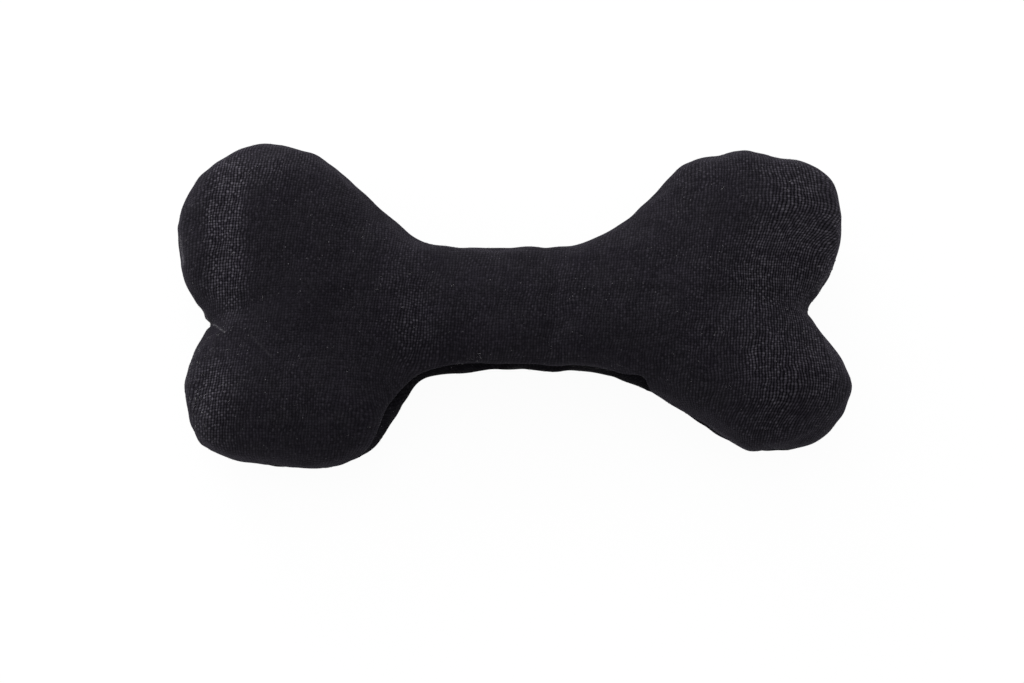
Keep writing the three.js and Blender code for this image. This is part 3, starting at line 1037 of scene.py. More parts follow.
@dataclass
class Fibres:
    """Loose fibres on the cloth, each a thin closed tube that curls over the surface."""

    cover: Cover
    name: str
    finish: "ThreadFinish"
    slot: str
    count: int
    length: tuple[float, float]
    radius: float
    rise: tuple[float, float]
    curl: float
    lifted_end: float
    density: Spots
    back_share: float = 0.4
    steps: int = 5
    sides: int = 3
    bend_radius: float = 20.0 * MM
    root_depth: float = 0.05 * MM
    radius_spread: float = 0.5
    faintness: float = 2.0
    clearance: float = 4.0

    def paths(self, face: Face, count: int, rng: np.random.Generator) -> np.ndarray:
        """Centre lines on one panel.

        A fibre sets off at a random angle in the cloth's own plane and turns evenly. Its height is
        an arch over the cloth plus a lifted end, less the fall of a rounded surface.

        Args:
            face: the panel.
            count: how many fibres.
            rng: the random numbers.

        Returns:
            (count, steps, 3) points.
        """
        places = self.cover.places(face, count, rng, self.density)
        side = norm(np.cross(places.normals, SLANTED))
        other = np.cross(places.normals, side)
        along = np.linspace(0.0, 1.0, self.steps)
        length = rng.uniform(*self.length, (count, 1))
        heading = rng.uniform(0.0, 2 * math.pi, (count, 1)) + along * rng.normal(0.0, self.curl, (count, 1))
        pace = length / (self.steps - 1)
        out = [np.cumsum(pace * turn(heading), axis=1) - pace * turn(heading) for turn in (np.cos, np.sin)]
        rise = rng.uniform(*self.rise, (count, 1))
        arch = rise * (np.sin(math.pi * along) + self.lifted_end * along**2)
        height = arch - self.root_depth - (out[0] ** 2 + out[1] ** 2) / (2 * self.bend_radius)
        parts = zip((*out, height), (side, other, places.normals))
        return places.points[:, None] + sum(part[..., None] * way[:, None] for part, way in parts)

    def build(self) -> bpy.types.Object:
        """Makes all the fibres of this kind as one piece."""
        rng = np.random.default_rng(SEED + self.count)
        on_back = int(self.count * self.back_share)
        counts = {Face.FRONT: self.count - on_back, Face.BACK: on_back}
        paths = np.concatenate([self.paths(face, count, rng) for face, count in counts.items()])
        paths = paths[paths[..., 2].min(1) > self.clearance * self.radius]
        spread = rng.uniform(1 - self.radius_spread, 1 + self.radius_spread, (len(paths), 1))
        piece = make_object(self.name, *tubes(paths, self.radius * spread, self.sides))
        bright = rng.uniform(size=len(paths)) ** self.faintness
        write_floats(piece, STRAND, np.repeat(bright, self.steps * self.sides))
        piece.data.materials.append(self.finish.material())
        return rides(piece)


@dataclass
class SeamThread:
    """The machine stitches deep in the groove between the panels, and the hand-sewn closing ones."""

    cover: Cover
    finish: "ThreadFinish"
    pitch: float = 2.6 * MM
    radius: float = 0.17 * MM
    half_height: float = 0.75 * MM
    depth: float = 0.75 * MM
    proud: float = 0.34 * MM
    slant: float = 0.4 * MM
    closing_radius: float = 0.24 * MM
    closing_pitch: float = 3.1 * MM
    closing_slant: float = 1.3 * MM
    closing_bulge: float = 1.5
    closing_within: float = 0.6
    closing_from: float = 0.135
    closing_to: float = 0.392
    steps: int = 5
    sides: int = 6

    def stitches(self, arcs: np.ndarray, slant: float, proud: float) -> np.ndarray:
        """Centre lines of stitches that bridge the groove.

        Each rises through the groove and leans along the seam, and bows outwards like half a sine.

        Args:
            arcs: their places along the seam.
            slant: how far the end lies further along the seam than the start.
            proud: how far the middle stands out of the groove.

        Returns:
            (stitches, steps, 3) points.
        """
        columns = self.cover.columns
        share = np.linspace(-1.0, 1.0, self.steps)
        place = arcs[:, None] + share * slant / 2
        sources = (
            columns.edge[:, 0], columns.edge[:, 1], self.cover.shape.seam_height + columns.lift,
            columns.outward[:, 0], columns.outward[:, 1], np.sqrt(1 - (columns.lift / columns.crown) ** 2),
        )
        length = ring_length(columns.arc)
        x, y, z, out_x, out_y, spread = (
            np.interp(place, np.append(columns.arc, length), np.append(part, part[0])) for part in sources
        )
        middle_reach = np.interp(place, columns.arc, columns.reach) * (1 - spread)
        out = proud * np.cos(share * math.pi / 2) - self.depth - middle_reach
        return np.stack([x + out * out_x, y + out * out_y, z + share * self.half_height], -1)

    def build(self) -> list[bpy.types.Object]:
        """Makes the seam's thread and the closing thread."""
        columns = self.cover.columns
        share = columns.edge / self.cover.shape.half_sizes
        closing = (share[:, 0] > self.closing_from) & (share[:, 0] < self.closing_to) & (share[:, 1] < 0)
        closing &= np.abs(share[:, 1]) < self.closing_within
        first, last = columns.arc[closing][[0, -1]]
        length = ring_length(columns.arc)
        arcs = np.arange(0.0, length - self.pitch / 2, self.pitch)
        arcs = arcs[(arcs < first) | (arcs > last)]
        by_hand = np.arange(first, last, self.closing_pitch)
        by_machine = self.stitches(arcs, self.slant, self.proud)
        closed = self.stitches(by_hand, self.closing_slant, self.closing_bulge * self.proud)
        made = []
        for name, paths, radius in (
            ("seam_stitches", by_machine, self.radius),
            ("closing_stitches", closed, self.closing_radius),
        ):
            piece = make_object(name, *tubes(paths, radius, self.sides))
            piece.data.materials.append(self.finish.material())
            made.append(rides(piece))
        return made


# What the cover holds


@dataclass
class Filling:
    """The loose fibre, pushed in as packed handfuls that follow the inside of the cloth."""

    cover: Cover
    finish: "LooseFibre"
    handfuls: tuple[str, ...] = (
        "upper_left_fill", "lower_left_fill", "shaft_left_fill",
        "shaft_right_fill", "upper_right_fill", "lower_right_fill",
    )
    voxel: float = 1.6 * MM
    slack: float = 0.75 * MM
    least_slack: float = 0.3 * MM
    smoothing: int = 3
    fill: float = 0.9
    tufts: Lumps = Lumps(0.22 * MM, 4.0 * MM, 10.0 * MM, 12)

    def handful(self, node: str) -> bpy.types.Object:
        """Makes one handful: its CAD solid remeshed finely, drawn in by the slack, and tufted.

        It follows the cloth where the folds and the lumps draw the cloth in.
        """
        solid = linked(f"{node}_solid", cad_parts[node].data.copy())
        solid.modifiers.new("weld", "WELD").merge_threshold = WELD_DISTANCE
        mesh = voxels(solid, self.voxel)
        points = coordinates(mesh)
        edges = read(mesh.edges, "vertices", 2, np.int32)
        points = relax(points, edges, np.ones(len(points)), self.smoothing)
        normals = read(mesh.vertex_normals, "vector", 3, np.float32)
        inward = self.slack + self.tufts.at(points) - self.tufts.height
        points += self.drawn_in(points) - normals * np.maximum(self.least_slack, inward)[:, None]
        move_to(mesh, points)
        mesh.materials.clear()
        mesh.materials.append(self.finish.material())
        mesh.shade_smooth()
        mesh.update()
        piece = linked(f"{node}_fibre", mesh)
        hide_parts(node)
        return rides(piece)

    def drawn_in(self, points: np.ndarray) -> np.ndarray:
        """How far the cover's details move each point, the inward part alone."""
        skins = self.cover.skins.values()
        source, normals, moves = (
            np.concatenate([getattr(skin, part)[::2, ::2].reshape(-1, 3) for skin in skins])
            for part in ("plain", "normals", "moves")
        )
        inward = np.minimum(0.0, (moves * normals).sum(-1, keepdims=True)) * normals
        return ClothPass(rest=source, moves=inward).carried(points)

    def build(self) -> list[bpy.types.Object]:
        """Makes every handful."""
        return [self.handful(node) for node in self.handfuls]


@dataclass
class Squeaker:
    """The soft bulb with its reed holder. The three small mouldings keep their CAD shapes."""

    vinyl: "Moulded"
    plastic: "Moulded"
    film: "Moulded"
    wall: float = 0.9 * MM
    half_height: float = 6.0 * MM
    neck_radius: float = 4.4 * MM
    bore_radius: float = 3.4 * MM
    squareness: float = 0.6
    steps: int = 36
    sides: int = 96

    def drum(self, radius: float, half_height: float, mouth: float) -> np.ndarray:
        """A rounded drum's profile from its lowest point up to its mouth.

        The radius goes with the cosine of the angle to the squareness, and the height with its sine.
        """
        last = math.acos((mouth / radius) ** (1 / self.squareness))
        angle = np.linspace(-math.pi / 2, last, self.steps)
        across = radius * np.abs(np.cos(angle)) ** self.squareness
        across[0] = 0.0
        upright = half_height * np.sign(angle) * np.abs(np.sin(angle)) ** self.squareness
        return np.stack([across, upright], -1)

    def bulb(self) -> bpy.types.Object:
        """Turns the bulb's profile round its upright axis: outside, lip, bore and inside."""
        low, high = (np.array(corner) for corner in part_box("squeaker_bulb"))
        radius = (high[0] - low[0]) / 2
        middle = np.array([(low[0] + high[0]) / 2, (low[1] + high[1]) / 2, low[2] + self.half_height])
        top = high[2] - middle[2]
        lip = [[self.neck_radius, top], [self.bore_radius, top]]
        outside = self.drum(radius, self.half_height, self.neck_radius)
        inside = self.drum(radius - self.wall, self.half_height - self.wall, self.bore_radius)
        profile = np.concatenate([outside, lip, inside[::-1]])
        turn = np.linspace(0.0, 2 * math.pi, self.sides, endpoint=False)
        around = np.stack([np.cos(turn), np.sin(turn)], -1)
        plan = profile[:, None, :1] * around
        height = np.broadcast_to(profile[:, 1:, None], (len(profile), self.sides, 1))
        grid = middle + np.concatenate([plan, height], -1)
        first, numbers = weld(grid)
        points = grid.reshape(-1, 3)[first]
        piece = make_object("squeaker_bulb_moulded", points, strip_faces(numbers, flip=True))
        piece.data.materials.append(self.vinyl.material())
        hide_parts("squeaker_bulb")
        return rides(piece)

    def build(self) -> list[bpy.types.Object]:
        """Makes the bulb and dresses the mouldings."""
        for node, finish in (
            ("reed_holder", self.plastic), ("reed_clamp", self.plastic), ("squeaker_reed", self.film),
        ):
            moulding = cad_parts[node]
            moulding.data.materials.clear()
            moulding.data.materials.append(finish.material())
        return [self.bulb()]


# Materials


Value = bpy.types.NodeSocket | float | tuple
GRAIN_SPAN = (0.3, 0.7)
THREAD_RISE = (0.6, 0.4)
THREAD_ROUNDNESS = 2.2
CROSSING_ROUNDNESS = 1.6
CROSSING_OVER = (0.5, 0.5)
# Painted highlight along the floats, brighter on the upright threads than on the level ones.
UPRIGHT_FLOAT = (0.55, 0.45)
LEVEL_FLOAT = (0.35, 0.2)
MIX_SOCKETS = {"FLOAT": (2, 3, 0), "VECTOR": (4, 5, 1), "RGBA": (6, 7, 2)}


class Wires:
    """Lays shader nodes in a tree and joins them."""

    def __init__(self, tree: bpy.types.NodeTree) -> None:
        """Starts on a tree."""
        self.tree = tree

    def feed(self, socket: bpy.types.NodeSocket, value: Value) -> None:
        """Joins another node's output to a socket, or sets the socket's own value."""
        if isinstance(value, bpy.types.NodeSocket):
            self.tree.links.new(value, socket)
        else:
            socket.default_value = value

    def node(self, kind: str, inputs: dict[str, Value] | None = None, **settings: object) -> bpy.types.Node:
        """Adds a node.

        Args:
            kind: the node's type, without its prefix.
            inputs: values or outputs by the name of the input.
            settings: the node's own settings.

        Returns:
            The node.
        """
        node = self.tree.nodes.new(f"ShaderNode{kind}")
        for name, value in settings.items():
            setattr(node, name, value)
        for name, value in (inputs or {}).items():
            self.feed(node.inputs[name], value)
        return node

    def math(self, operation: str, *values: Value) -> bpy.types.NodeSocket:
        """Adds a Math node and gives its result."""
        node = self.node("Math", operation=operation)
        for socket, value in zip(node.inputs, values):
            self.feed(socket, value)
        return node.outputs[0]

    def product(self, *values: Value) -> bpy.types.NodeSocket:
        """Multiplies numbers, one after another."""
        return reduce(lambda so_far, value: self.math("MULTIPLY", so_far, value), values)

    def vector(self, operation: str, *values: Value) -> bpy.types.NodeSocket:
        """Adds a Vector Math node and gives its result, a number for a dot product or a length."""
        node = self.node("VectorMath", operation=operation)
        for socket, value in zip(node.inputs, values):
            self.feed(socket, value)
        return node.outputs["Value" if operation in ("DOT_PRODUCT", "LENGTH") else "Vector"]

    def blend(
        self, share: Value, start: Value, end: Value, kind: str = "RGBA"
    ) -> bpy.types.NodeSocket:
        """Mixes two colours, or two numbers or vectors."""
        first, second, result = MIX_SOCKETS[kind]
        node = self.node("Mix", data_type=kind)
        for index, value in ((0, share), (first, start), (second, end)):
            self.feed(node.inputs[index], value)
        return node.outputs[result]

    def between(
        self, value: Value, low: float, high: float, start: float = 0.0, end: float = 1.0
    ) -> bpy.types.NodeSocket:
        """Eases a value from one range to another."""
        names = ("Value", "From Min", "From Max", "To Min", "To Max")
        inputs = dict(zip(names, (value, low, high, start, end)))
        return self.node("MapRange", inputs, interpolation_type="SMOOTHSTEP").outputs["Result"]

    def attribute(self, name: str) -> bpy.types.NodeSocket:
        """Reads a number that the mesh carries."""
        return self.node("Attribute", attribute_name=name).outputs["Fac"]

    def place(self) -> bpy.types.NodeSocket:
        """Reads the object's own coordinates."""
        return self.node("TexCoord").outputs["Object"]

    def rough(self, shader: bpy.types.Node, grain: Value, low: float, high: float) -> None:
        """Lets a shader's roughness follow the grain."""
        self.feed(shader.inputs["Roughness"], self.between(grain, *GRAIN_SPAN, low, high))

    def relief(self, shader: bpy.types.Node, height: Value, depth: float, strength: float) -> None:
        """Gives a shader a relief from a height, by a bump."""
        bumps = self.node("Bump", {"Height": height, "Distance": depth, "Strength": strength})
        self.feed(shader.inputs["Normal"], bumps.outputs["Normal"])

    def noise(self, vector: Value, size: float, detail: float = 2.0, rough: float = 0.5) -> bpy.types.Node:
        """Adds a Noise Texture whose features are about that size in metres."""
        return self.node(
            "TexNoise", {"Vector": vector, "Scale": 1.0 / size, "Detail": detail, "Roughness": rough}
        )


Started = tuple[bpy.types.NodeTree, Wires, bpy.types.Node, bpy.types.Node]


def new_group(name: str, inputs: dict[str, str], outputs: dict[str, str]) -> Started:
    """Starts a shader node group.

    Args:
        name: its name.
        inputs: socket types by name.
        outputs: socket types by name.

    Returns:
        The group, its wires, and its input and output nodes.
    """
    group = bpy.data.node_groups.new(name, "ShaderNodeTree")
    for sockets, side in ((inputs, "INPUT"), (outputs, "OUTPUT")):
        for socket, kind in sockets.items():
            group.interface.new_socket(socket, in_out=side, socket_type=f"NodeSocket{kind}")
    return group, Wires(group), group.nodes.new("NodeGroupInput"), group.nodes.new("NodeGroupOutput")


@cache
def weave_group() -> bpy.types.NodeTree:
    """Plain weave: upright and level threads that pass over each other by turns.

    Each thread is round across, a sine of its place, and rises where it passes over. Light is how
    bright the threads look, painted shade towards each thread's sides and a painted highlight on its
    crown, with the level threads painted dimmer. Rib is how much of an upright one shows where it
    passes under.
    """
    group, wires, given, out = new_group(
        "plain_weave",
        {"Vector": "Vector"} | dict.fromkeys(("Across", "Along", "Wander", "Jitter", "Rib"), "Float"),
        dict.fromkeys(("Height", "Light", "Crossing", "Tint", "Fleck"), "Float"),
    )
    moved = given.outputs["Vector"]
    for size, reach in ((9.0 * MM, "Wander"), (1.5 * MM, "Jitter")):
        noise = wires.noise(given.outputs["Vector"], size, 2.0, 0.6).outputs["Color"]
        centred = wires.vector("SUBTRACT", noise, (0.5, 0.5, 0.5))
        moved = wires.vector("MULTIPLY_ADD", centred, given.outputs[reach], moved)
    apart = wires.node("SeparateXYZ", {"Vector": moved})
    place = [
        wires.math("DIVIDE", apart.outputs[axis], given.outputs[pitch])
        for axis, pitch in (("X", "Across"), ("Y", "Along"))
    ]
    index = [wires.math("FLOOR", value) for value in place]
    round_ = [wires.math("SINE", wires.product(wires.math("FRACT", value), math.pi)) for value in place]
    over = wires.math("FLOORED_MODULO", wires.math("ADD", *index), 2.0)
    sign = wires.math("MULTIPLY_ADD", over, 2.0, -1.0)
    mean_rise, swing = THREAD_RISE
    rise = [
        wires.math("MULTIPLY_ADD", wires.product(across, sign), share, mean_rise)
        for across, share in ((round_[1], swing), (round_[0], -swing))
    ]
    threads = [wires.product(shape, height) for shape, height in zip(round_, rise)]
    wires.feed(out.inputs["Height"], wires.math("MAXIMUM", *threads))
    top = wires.math("POWER", wires.product(*round_), CROSSING_ROUNDNESS)
    by_turns = wires.math("MULTIPLY_ADD", over, *CROSSING_OVER)
    wires.feed(out.inputs["Crossing"], wires.product(top, by_turns))
    upright, level = (wires.math("POWER", value, THREAD_ROUNDNESS) for value in round_)
    float_up = wires.product(upright, wires.math("MULTIPLY_ADD", round_[1], *UPRIGHT_FLOAT))
    float_level = wires.product(level, wires.math("MULTIPLY_ADD", round_[0], *LEVEL_FLOAT))
    behind = wires.math("MAXIMUM", float_level, wires.product(upright, given.outputs["Rib"]))
    wires.feed(out.inputs["Light"], wires.blend(over, behind, float_up, "FLOAT"))
    tints = [
        wires.node("TexWhiteNoise", {"W": wires.math("ADD", value, offset)}, noise_dimensions="1D")
        for value, offset in zip(index, (0.3, 500.3))
    ]
    upright_tint, level_tint = (tint.outputs["Value"] for tint in tints)
    wires.feed(out.inputs["Tint"], wires.blend(over, level_tint, upright_tint, "FLOAT"))
    crossing = wires.node("CombineXYZ", {"X": index[0], "Y": index[1]}).outputs[0]
    fleck = wires.node("TexWhiteNoise", {"Vector": crossing}, noise_dimensions="2D")
    wires.feed(out.inputs["Fleck"], fleck.outputs["Value"])
    return group


@cache
def dust_group() -> bpy.types.NodeTree:
    """Dust and lint: specks are the middles of some Voronoi cells, more of them in soft patches."""
    group, wires, given, out = new_group(
        "lint_dust", {"Vector": "Vector", "Spacing": "Float", "Amount": "Float"}, {"Speck": "Float"}
    )
    scale = wires.math("DIVIDE", 1.0, given.outputs["Spacing"])
    cells = wires.node("TexVoronoi", {"Vector": given.outputs["Vector"], "Scale": scale})
    chance = wires.node("SeparateColor", {"Color": cells.outputs["Color"]}).outputs["Red"]
    patches = wires.noise(given.outputs["Vector"], 14.0 * MM, 2.0).outputs["Fac"]
    amount = wires.product(given.outputs["Amount"], wires.between(patches, 0.35, 0.7, 0.2, 1.8))
    picked = wires.math("LESS_THAN", chance, amount)
    middle = wires.between(cells.outputs["Distance"], 0.08, 0.2, 1.0, 0.0)
    wires.feed(out.inputs["Speck"], wires.product(picked, middle))
    return group


@cache
def highlight_group() -> bpy.types.NodeTree:
    """A painted highlight line broken up by a noise, exp(-d^2) of the gap to it in plan and in height, in its
    spreads.
    """
    group, wires, given, out = new_group(
        "painted_highlight_line",
        {"Vector": "Vector", "Start": "Vector", "Run": "Vector", "Spread": "Vector"},
        {"PaintedHighlight": "Float"},
    )
    run = given.outputs["Run"]
    out_from = wires.vector("SUBTRACT", given.outputs["Vector"], given.outputs["Start"])
    in_plan = wires.vector("MULTIPLY", run, (1.0, 1.0, 0.0))
    reached, whole = (wires.vector("DOT_PRODUCT", in_plan, part) for part in (out_from, in_plan))
    held = wires.math("MINIMUM", wires.math("MAXIMUM", wires.math("DIVIDE", reached, whole), 0.0), 1.0)
    gap = wires.vector("SUBTRACT", out_from, wires.vector("MULTIPLY", run, held))
    widths = wires.vector("LENGTH", wires.vector("DIVIDE", gap, given.outputs["Spread"]))
    line = wires.math("EXPONENT", wires.product(widths, widths, -1.0))
    noise = wires.noise(given.outputs["Vector"], 0.5 * MM, 2.0).outputs["Fac"]
    wires.feed(out.inputs["PaintedHighlight"], wires.product(line, wires.between(noise, 0.4, 0.6, 0.1, 1.0)))
    return group


@cache
def grain_group() -> bpy.types.NodeTree:
    """Fine grain and slow mottling of a surface, both noises with means near a half."""
    group, wires, given, out = new_group(
        "fine_grain", {"Vector": "Vector", "Size": "Float"}, {"Grain": "Float", "Mottle": "Float"}
    )
    scale = wires.math("DIVIDE", 1.0, given.outputs["Size"])
    for name, value, detail in (("Grain", scale, 3.0), ("Mottle", wires.product(scale, 0.06), 2.0)):
        noise = wires.node("TexNoise", {"Vector": given.outputs["Vector"], "Scale": value, "Detail": detail})
        wires.feed(out.inputs[name], noise.outputs["Fac"])
    return group


def start_material(name: str) -> tuple[bpy.types.Material, Wires, bpy.types.Node]:
    """Makes a material and gives its wires and its Principled shader."""
    material = bpy.data.materials.new(name)
    material.use_nodes = True
    wires = Wires(material.node_tree)
    return material, wires, material.node_tree.nodes["Principled BSDF"]


def grouped(wires: Wires, tree: bpy.types.NodeTree, inputs: dict[str, Value]) -> bpy.types.NodeInputs:
    """Places a group in a material and gives its outputs."""
    node = wires.node("Group", node_tree=tree)
    for name, value in inputs.items():
        wires.feed(node.inputs[name], value)
    return node.outputs


Colour = tuple[float, float, float, float]


@dataclass(frozen=True)
class PaintedHighlight:
    """A painted highlight: a pale line where a fold's crest or a rim catches the light, from one place to
    another, in millimetres.
    """

    start: tuple[float, float, float]
    end: tuple[float, float, float]
    width: float
    weight: float
    tall: float = 1.2 * MM

    def laid(self, wires: Wires, place: Value) -> bpy.types.NodeSocket:
        """The share of the line at a place."""
        start = tuple(MM * value for value in self.start)
        run = tuple(MM * (last - value) for value, last in zip(self.start, self.end))
        given = {"Vector": place, "Start": start, "Run": run, "Spread": (self.width, self.width, self.tall)}
        return wires.product(grouped(wires, highlight_group(), given)["PaintedHighlight"], self.weight)


@dataclass(frozen=True)
class WovenCotton:
    """Coarse black plain-woven cotton, a little fuzzy, with painted glints where its threads catch the light.
    """

    name: str = "black_woven_cotton"
    thread: Colour = (0.0376, 0.0328, 0.0452, 1.0)
    worn_thread: Colour = (0.0412, 0.0386, 0.0458, 1.0)
    gap: Colour = (0.0010, 0.0009, 0.0013, 1.0)
    # Colour of the painted glint on the thread crossings.
    painted_glint: Colour = (0.125, 0.117, 0.138, 1.0)
    lint: Colour = (0.3, 0.29, 0.31, 1.0)
    tint: Colour = (0.84, 0.76, 1.0, 1.0)
    even_light: float = 0.37
    across: float = 0.79 * MM
    along: float = 0.72 * MM
    wander: float = 2.2 * MM
    jitter: float = 0.45 * MM
    thread_spread: float = 0.25
    fleck_spread: float = 0.5
    grain_spread: float = 0.62
    dust: float = 0.055
    relief: float = 0.16 * MM
    specular: float = 0.05
    sheen: float = 0.07
    sheen_rough: float = 0.35
    brushed_and_highlight: tuple[float, float] = (0.55, 0.8)
    speck: float = 0.5
    highlights: tuple[PaintedHighlight, ...] = ()

    @cache
    def material(self) -> bpy.types.Material:
        """Builds the cloth's material once."""
        material, wires, shader = start_material(self.name)
        flat = wires.node("UVMap", uv_map=FLAT_MAP).outputs["UV"]
        place = wires.place()
        clear, rib, painted_shading, roam = (wires.attribute(name) for name in (CLARITY, RIB, PAINTED_SHADING, ROAM))
        weave = grouped(
            wires, weave_group(),
            {
                "Vector": flat, "Across": self.across, "Along": self.along,
                "Wander": wires.product(roam, self.wander), "Jitter": self.jitter, "Rib": rib,
            },
        )
        dust = grouped(wires, dust_group(), {"Vector": place, "Spacing": 0.8 * MM, "Amount": self.dust})
        grain = grouped(wires, grain_group(), {"Vector": place, "Size": 0.42 * MM})
        patchy = wires.between(wires.noise(place, 13.0 * MM, 2.0).outputs["Fac"], 0.3, 0.7, 0.75, 1.2)
        shown = wires.math("MINIMUM", wires.product(clear, patchy), 1.0)
        # The threads' painted shading and highlight, stronger where the weave shows clearly.
        off_even = wires.math("SUBTRACT", weave["Light"], self.even_light)
        light = wires.math("MULTIPLY_ADD", off_even, shown, self.even_light)
        by_thread, by_fleck = (
            wires.math("MULTIPLY_ADD", weave[output], spread, 1 - spread / 2)
            for output, spread in (("Tint", self.thread_spread), ("Fleck", self.fleck_spread))
        )
        half = self.grain_spread / 2
        by_grain = wires.between(grain["Grain"], *GRAIN_SPAN, 1 - half, 1 + half)
        # Painted glint on the crossings, stronger where the weave shows clearly and dimmed by the painted
        # shading.
        caught = wires.product(wires.between(weave["Fleck"], 0.1, 1.0), shown, shown)
        painted_glint = wires.product(weave["Crossing"], shown, painted_shading, caught)
        thread = wires.blend(grain["Mottle"], self.thread, self.worn_thread)
        # Brighter where the weave shows clearly: partly brushed nap, partly a painted highlight where the
        # threads catch the light.
        brushed_and_highlight = wires.math("MULTIPLY_ADD", clear, *self.brushed_and_highlight)
        lit = wires.product(light, by_thread, by_fleck, by_grain, brushed_and_highlight, painted_shading)
        colour = wires.blend(lit, self.gap, thread)
        colour = wires.blend(painted_glint, colour, self.painted_glint)
        colour = wires.blend(wires.product(dust["Speck"], self.speck), colour, self.lint)
        # Painted highlights: pale lines along fold crests and rims, in the same pale colour as the dust
        # specks.
        for mark in self.highlights:
            colour = wires.blend(mark.laid(wires, place), colour, self.lint)
        wires.feed(shader.inputs["Base Color"], colour)
        wires.rough(shader, grain["Grain"], 0.78, 0.98)
        fuzzy = wires.math("MULTIPLY_ADD", grain["Grain"], 0.35, weave["Height"])
        wires.relief(shader, fuzzy, self.relief, 0.75)
        for name, value in (
            ("Specular IOR Level", self.specular), ("Specular Tint", self.tint), ("Sheen Weight", self.sheen),
            ("Sheen Roughness", self.sheen_rough), ("Sheen Tint", self.tint),
        ):
            shader.inputs[name].default_value = value
        return material


@dataclass(frozen=True)
class ThreadFinish:
    """Sewing thread or a single fibre, with a little twist and unevenness along it."""

    name: str
    dark: Colour
    light: Colour
    twist: float = 0.5 * MM
    rough: float = 0.85
    rough_spread: float = 0.1
    by_strand: bool = False

    @cache
    def material(self) -> bpy.types.Material:
        """Builds the thread's material once."""
        material, wires, shader = start_material(self.name)
        place = wires.place()
        wave = {"Vector": place, "Scale": 0.3 / self.twist, "Distortion": 1.5}
        ply = wires.node("TexWave", wave, bands_direction="DIAGONAL").outputs["Fac"]
        grain = grouped(wires, grain_group(), {"Vector": place, "Size": self.twist})
        tone = wires.product(wires.math("ADD", ply, grain["Mottle"]), 0.5)
        if self.by_strand:
            tone = wires.product(tone, wires.attribute(STRAND))
        wires.feed(shader.inputs["Base Color"], wires.blend(tone, self.dark, self.light))
        low, high = self.rough - self.rough_spread, self.rough + self.rough_spread
        wires.rough(shader, grain["Grain"], low, high)
        wires.relief(shader, ply, 0.04 * MM, 0.6)
        shader.inputs["Specular IOR Level"].default_value = 0.2
        return material


@dataclass(frozen=True)
class LooseFibre:
    """White polyester fibre, matted, with painted shade in the hollows between the strands."""

    name: str = "loose_fibre"
    strand: Colour = (0.8, 0.79, 0.76, 1.0)
    hollow: Colour = (0.52, 0.51, 0.48, 1.0)
    bend: float = 0.012
    waves_per_metre: float = 260.0
    grain: float = 0.35 * MM
    relief: float = 0.25 * MM

    @cache
    def material(self) -> bpy.types.Material:
        """Builds the fibre's material once."""
        material, wires, shader = start_material(self.name)
        place = wires.place()
        bent = wires.noise(place, 4.0 * MM, 3.0).outputs["Color"]
        pulled = wires.blend(self.bend, place, bent, "VECTOR")
        wave = {"Vector": pulled, "Scale": self.waves_per_metre, "Distortion": 6.0, "Detail": 3.0}
        strands = wires.node("TexWave", wave).outputs["Fac"]
        grain = grouped(wires, grain_group(), {"Vector": place, "Size": self.grain})
        depth = wires.math("MULTIPLY_ADD", strands, 0.6, wires.product(grain["Grain"], 0.4))
        # The hollows between the strands take a painted shade.
        wires.feed(shader.inputs["Base Color"], wires.blend(depth, self.hollow, self.strand))
        wires.rough(shader, grain["Mottle"], 0.85, 1.0)
        wires.relief(shader, depth, self.relief, 0.8)
        return material


@dataclass(frozen=True)
class Moulded:
    """Moulded or rolled plastic with a fine grain, slow mottling and a little dust."""

    name: str
    colour: Colour
    deep: Colour
    rough: float
    rough_spread: float = 0.08
    grain: float = 0.3 * MM
    relief: float = 0.02 * MM
    dusty: Colour = (0.5, 0.49, 0.46, 1.0)

    @cache
    def material(self) -> bpy.types.Material:
        """Builds the plastic's material once."""
        material, wires, shader = start_material(self.name)
        place = wires.place()
        grain = grouped(wires, grain_group(), {"Vector": place, "Size": self.grain})
        dust = grouped(wires, dust_group(), {"Vector": place, "Spacing": 0.6 * MM, "Amount": 0.03})
        colour = wires.blend(grain["Mottle"], self.deep, self.colour)
        specks = wires.product(dust["Speck"], 0.5)
        wires.feed(shader.inputs["Base Color"], wires.blend(specks, colour, self.dusty))
        low, high = self.rough - self.rough_spread, self.rough + self.rough_spread
        wires.rough(shader, grain["Grain"], low, high)
        wires.relief(shader, grain["Grain"], self.relief, 0.5)
        return material


# The studio


@dataclass(frozen=True)
class Lamp:
    """A soft square lamp that faces the toy."""

    name: str
    place: tuple[float, float, float]
    size: float
    power: float


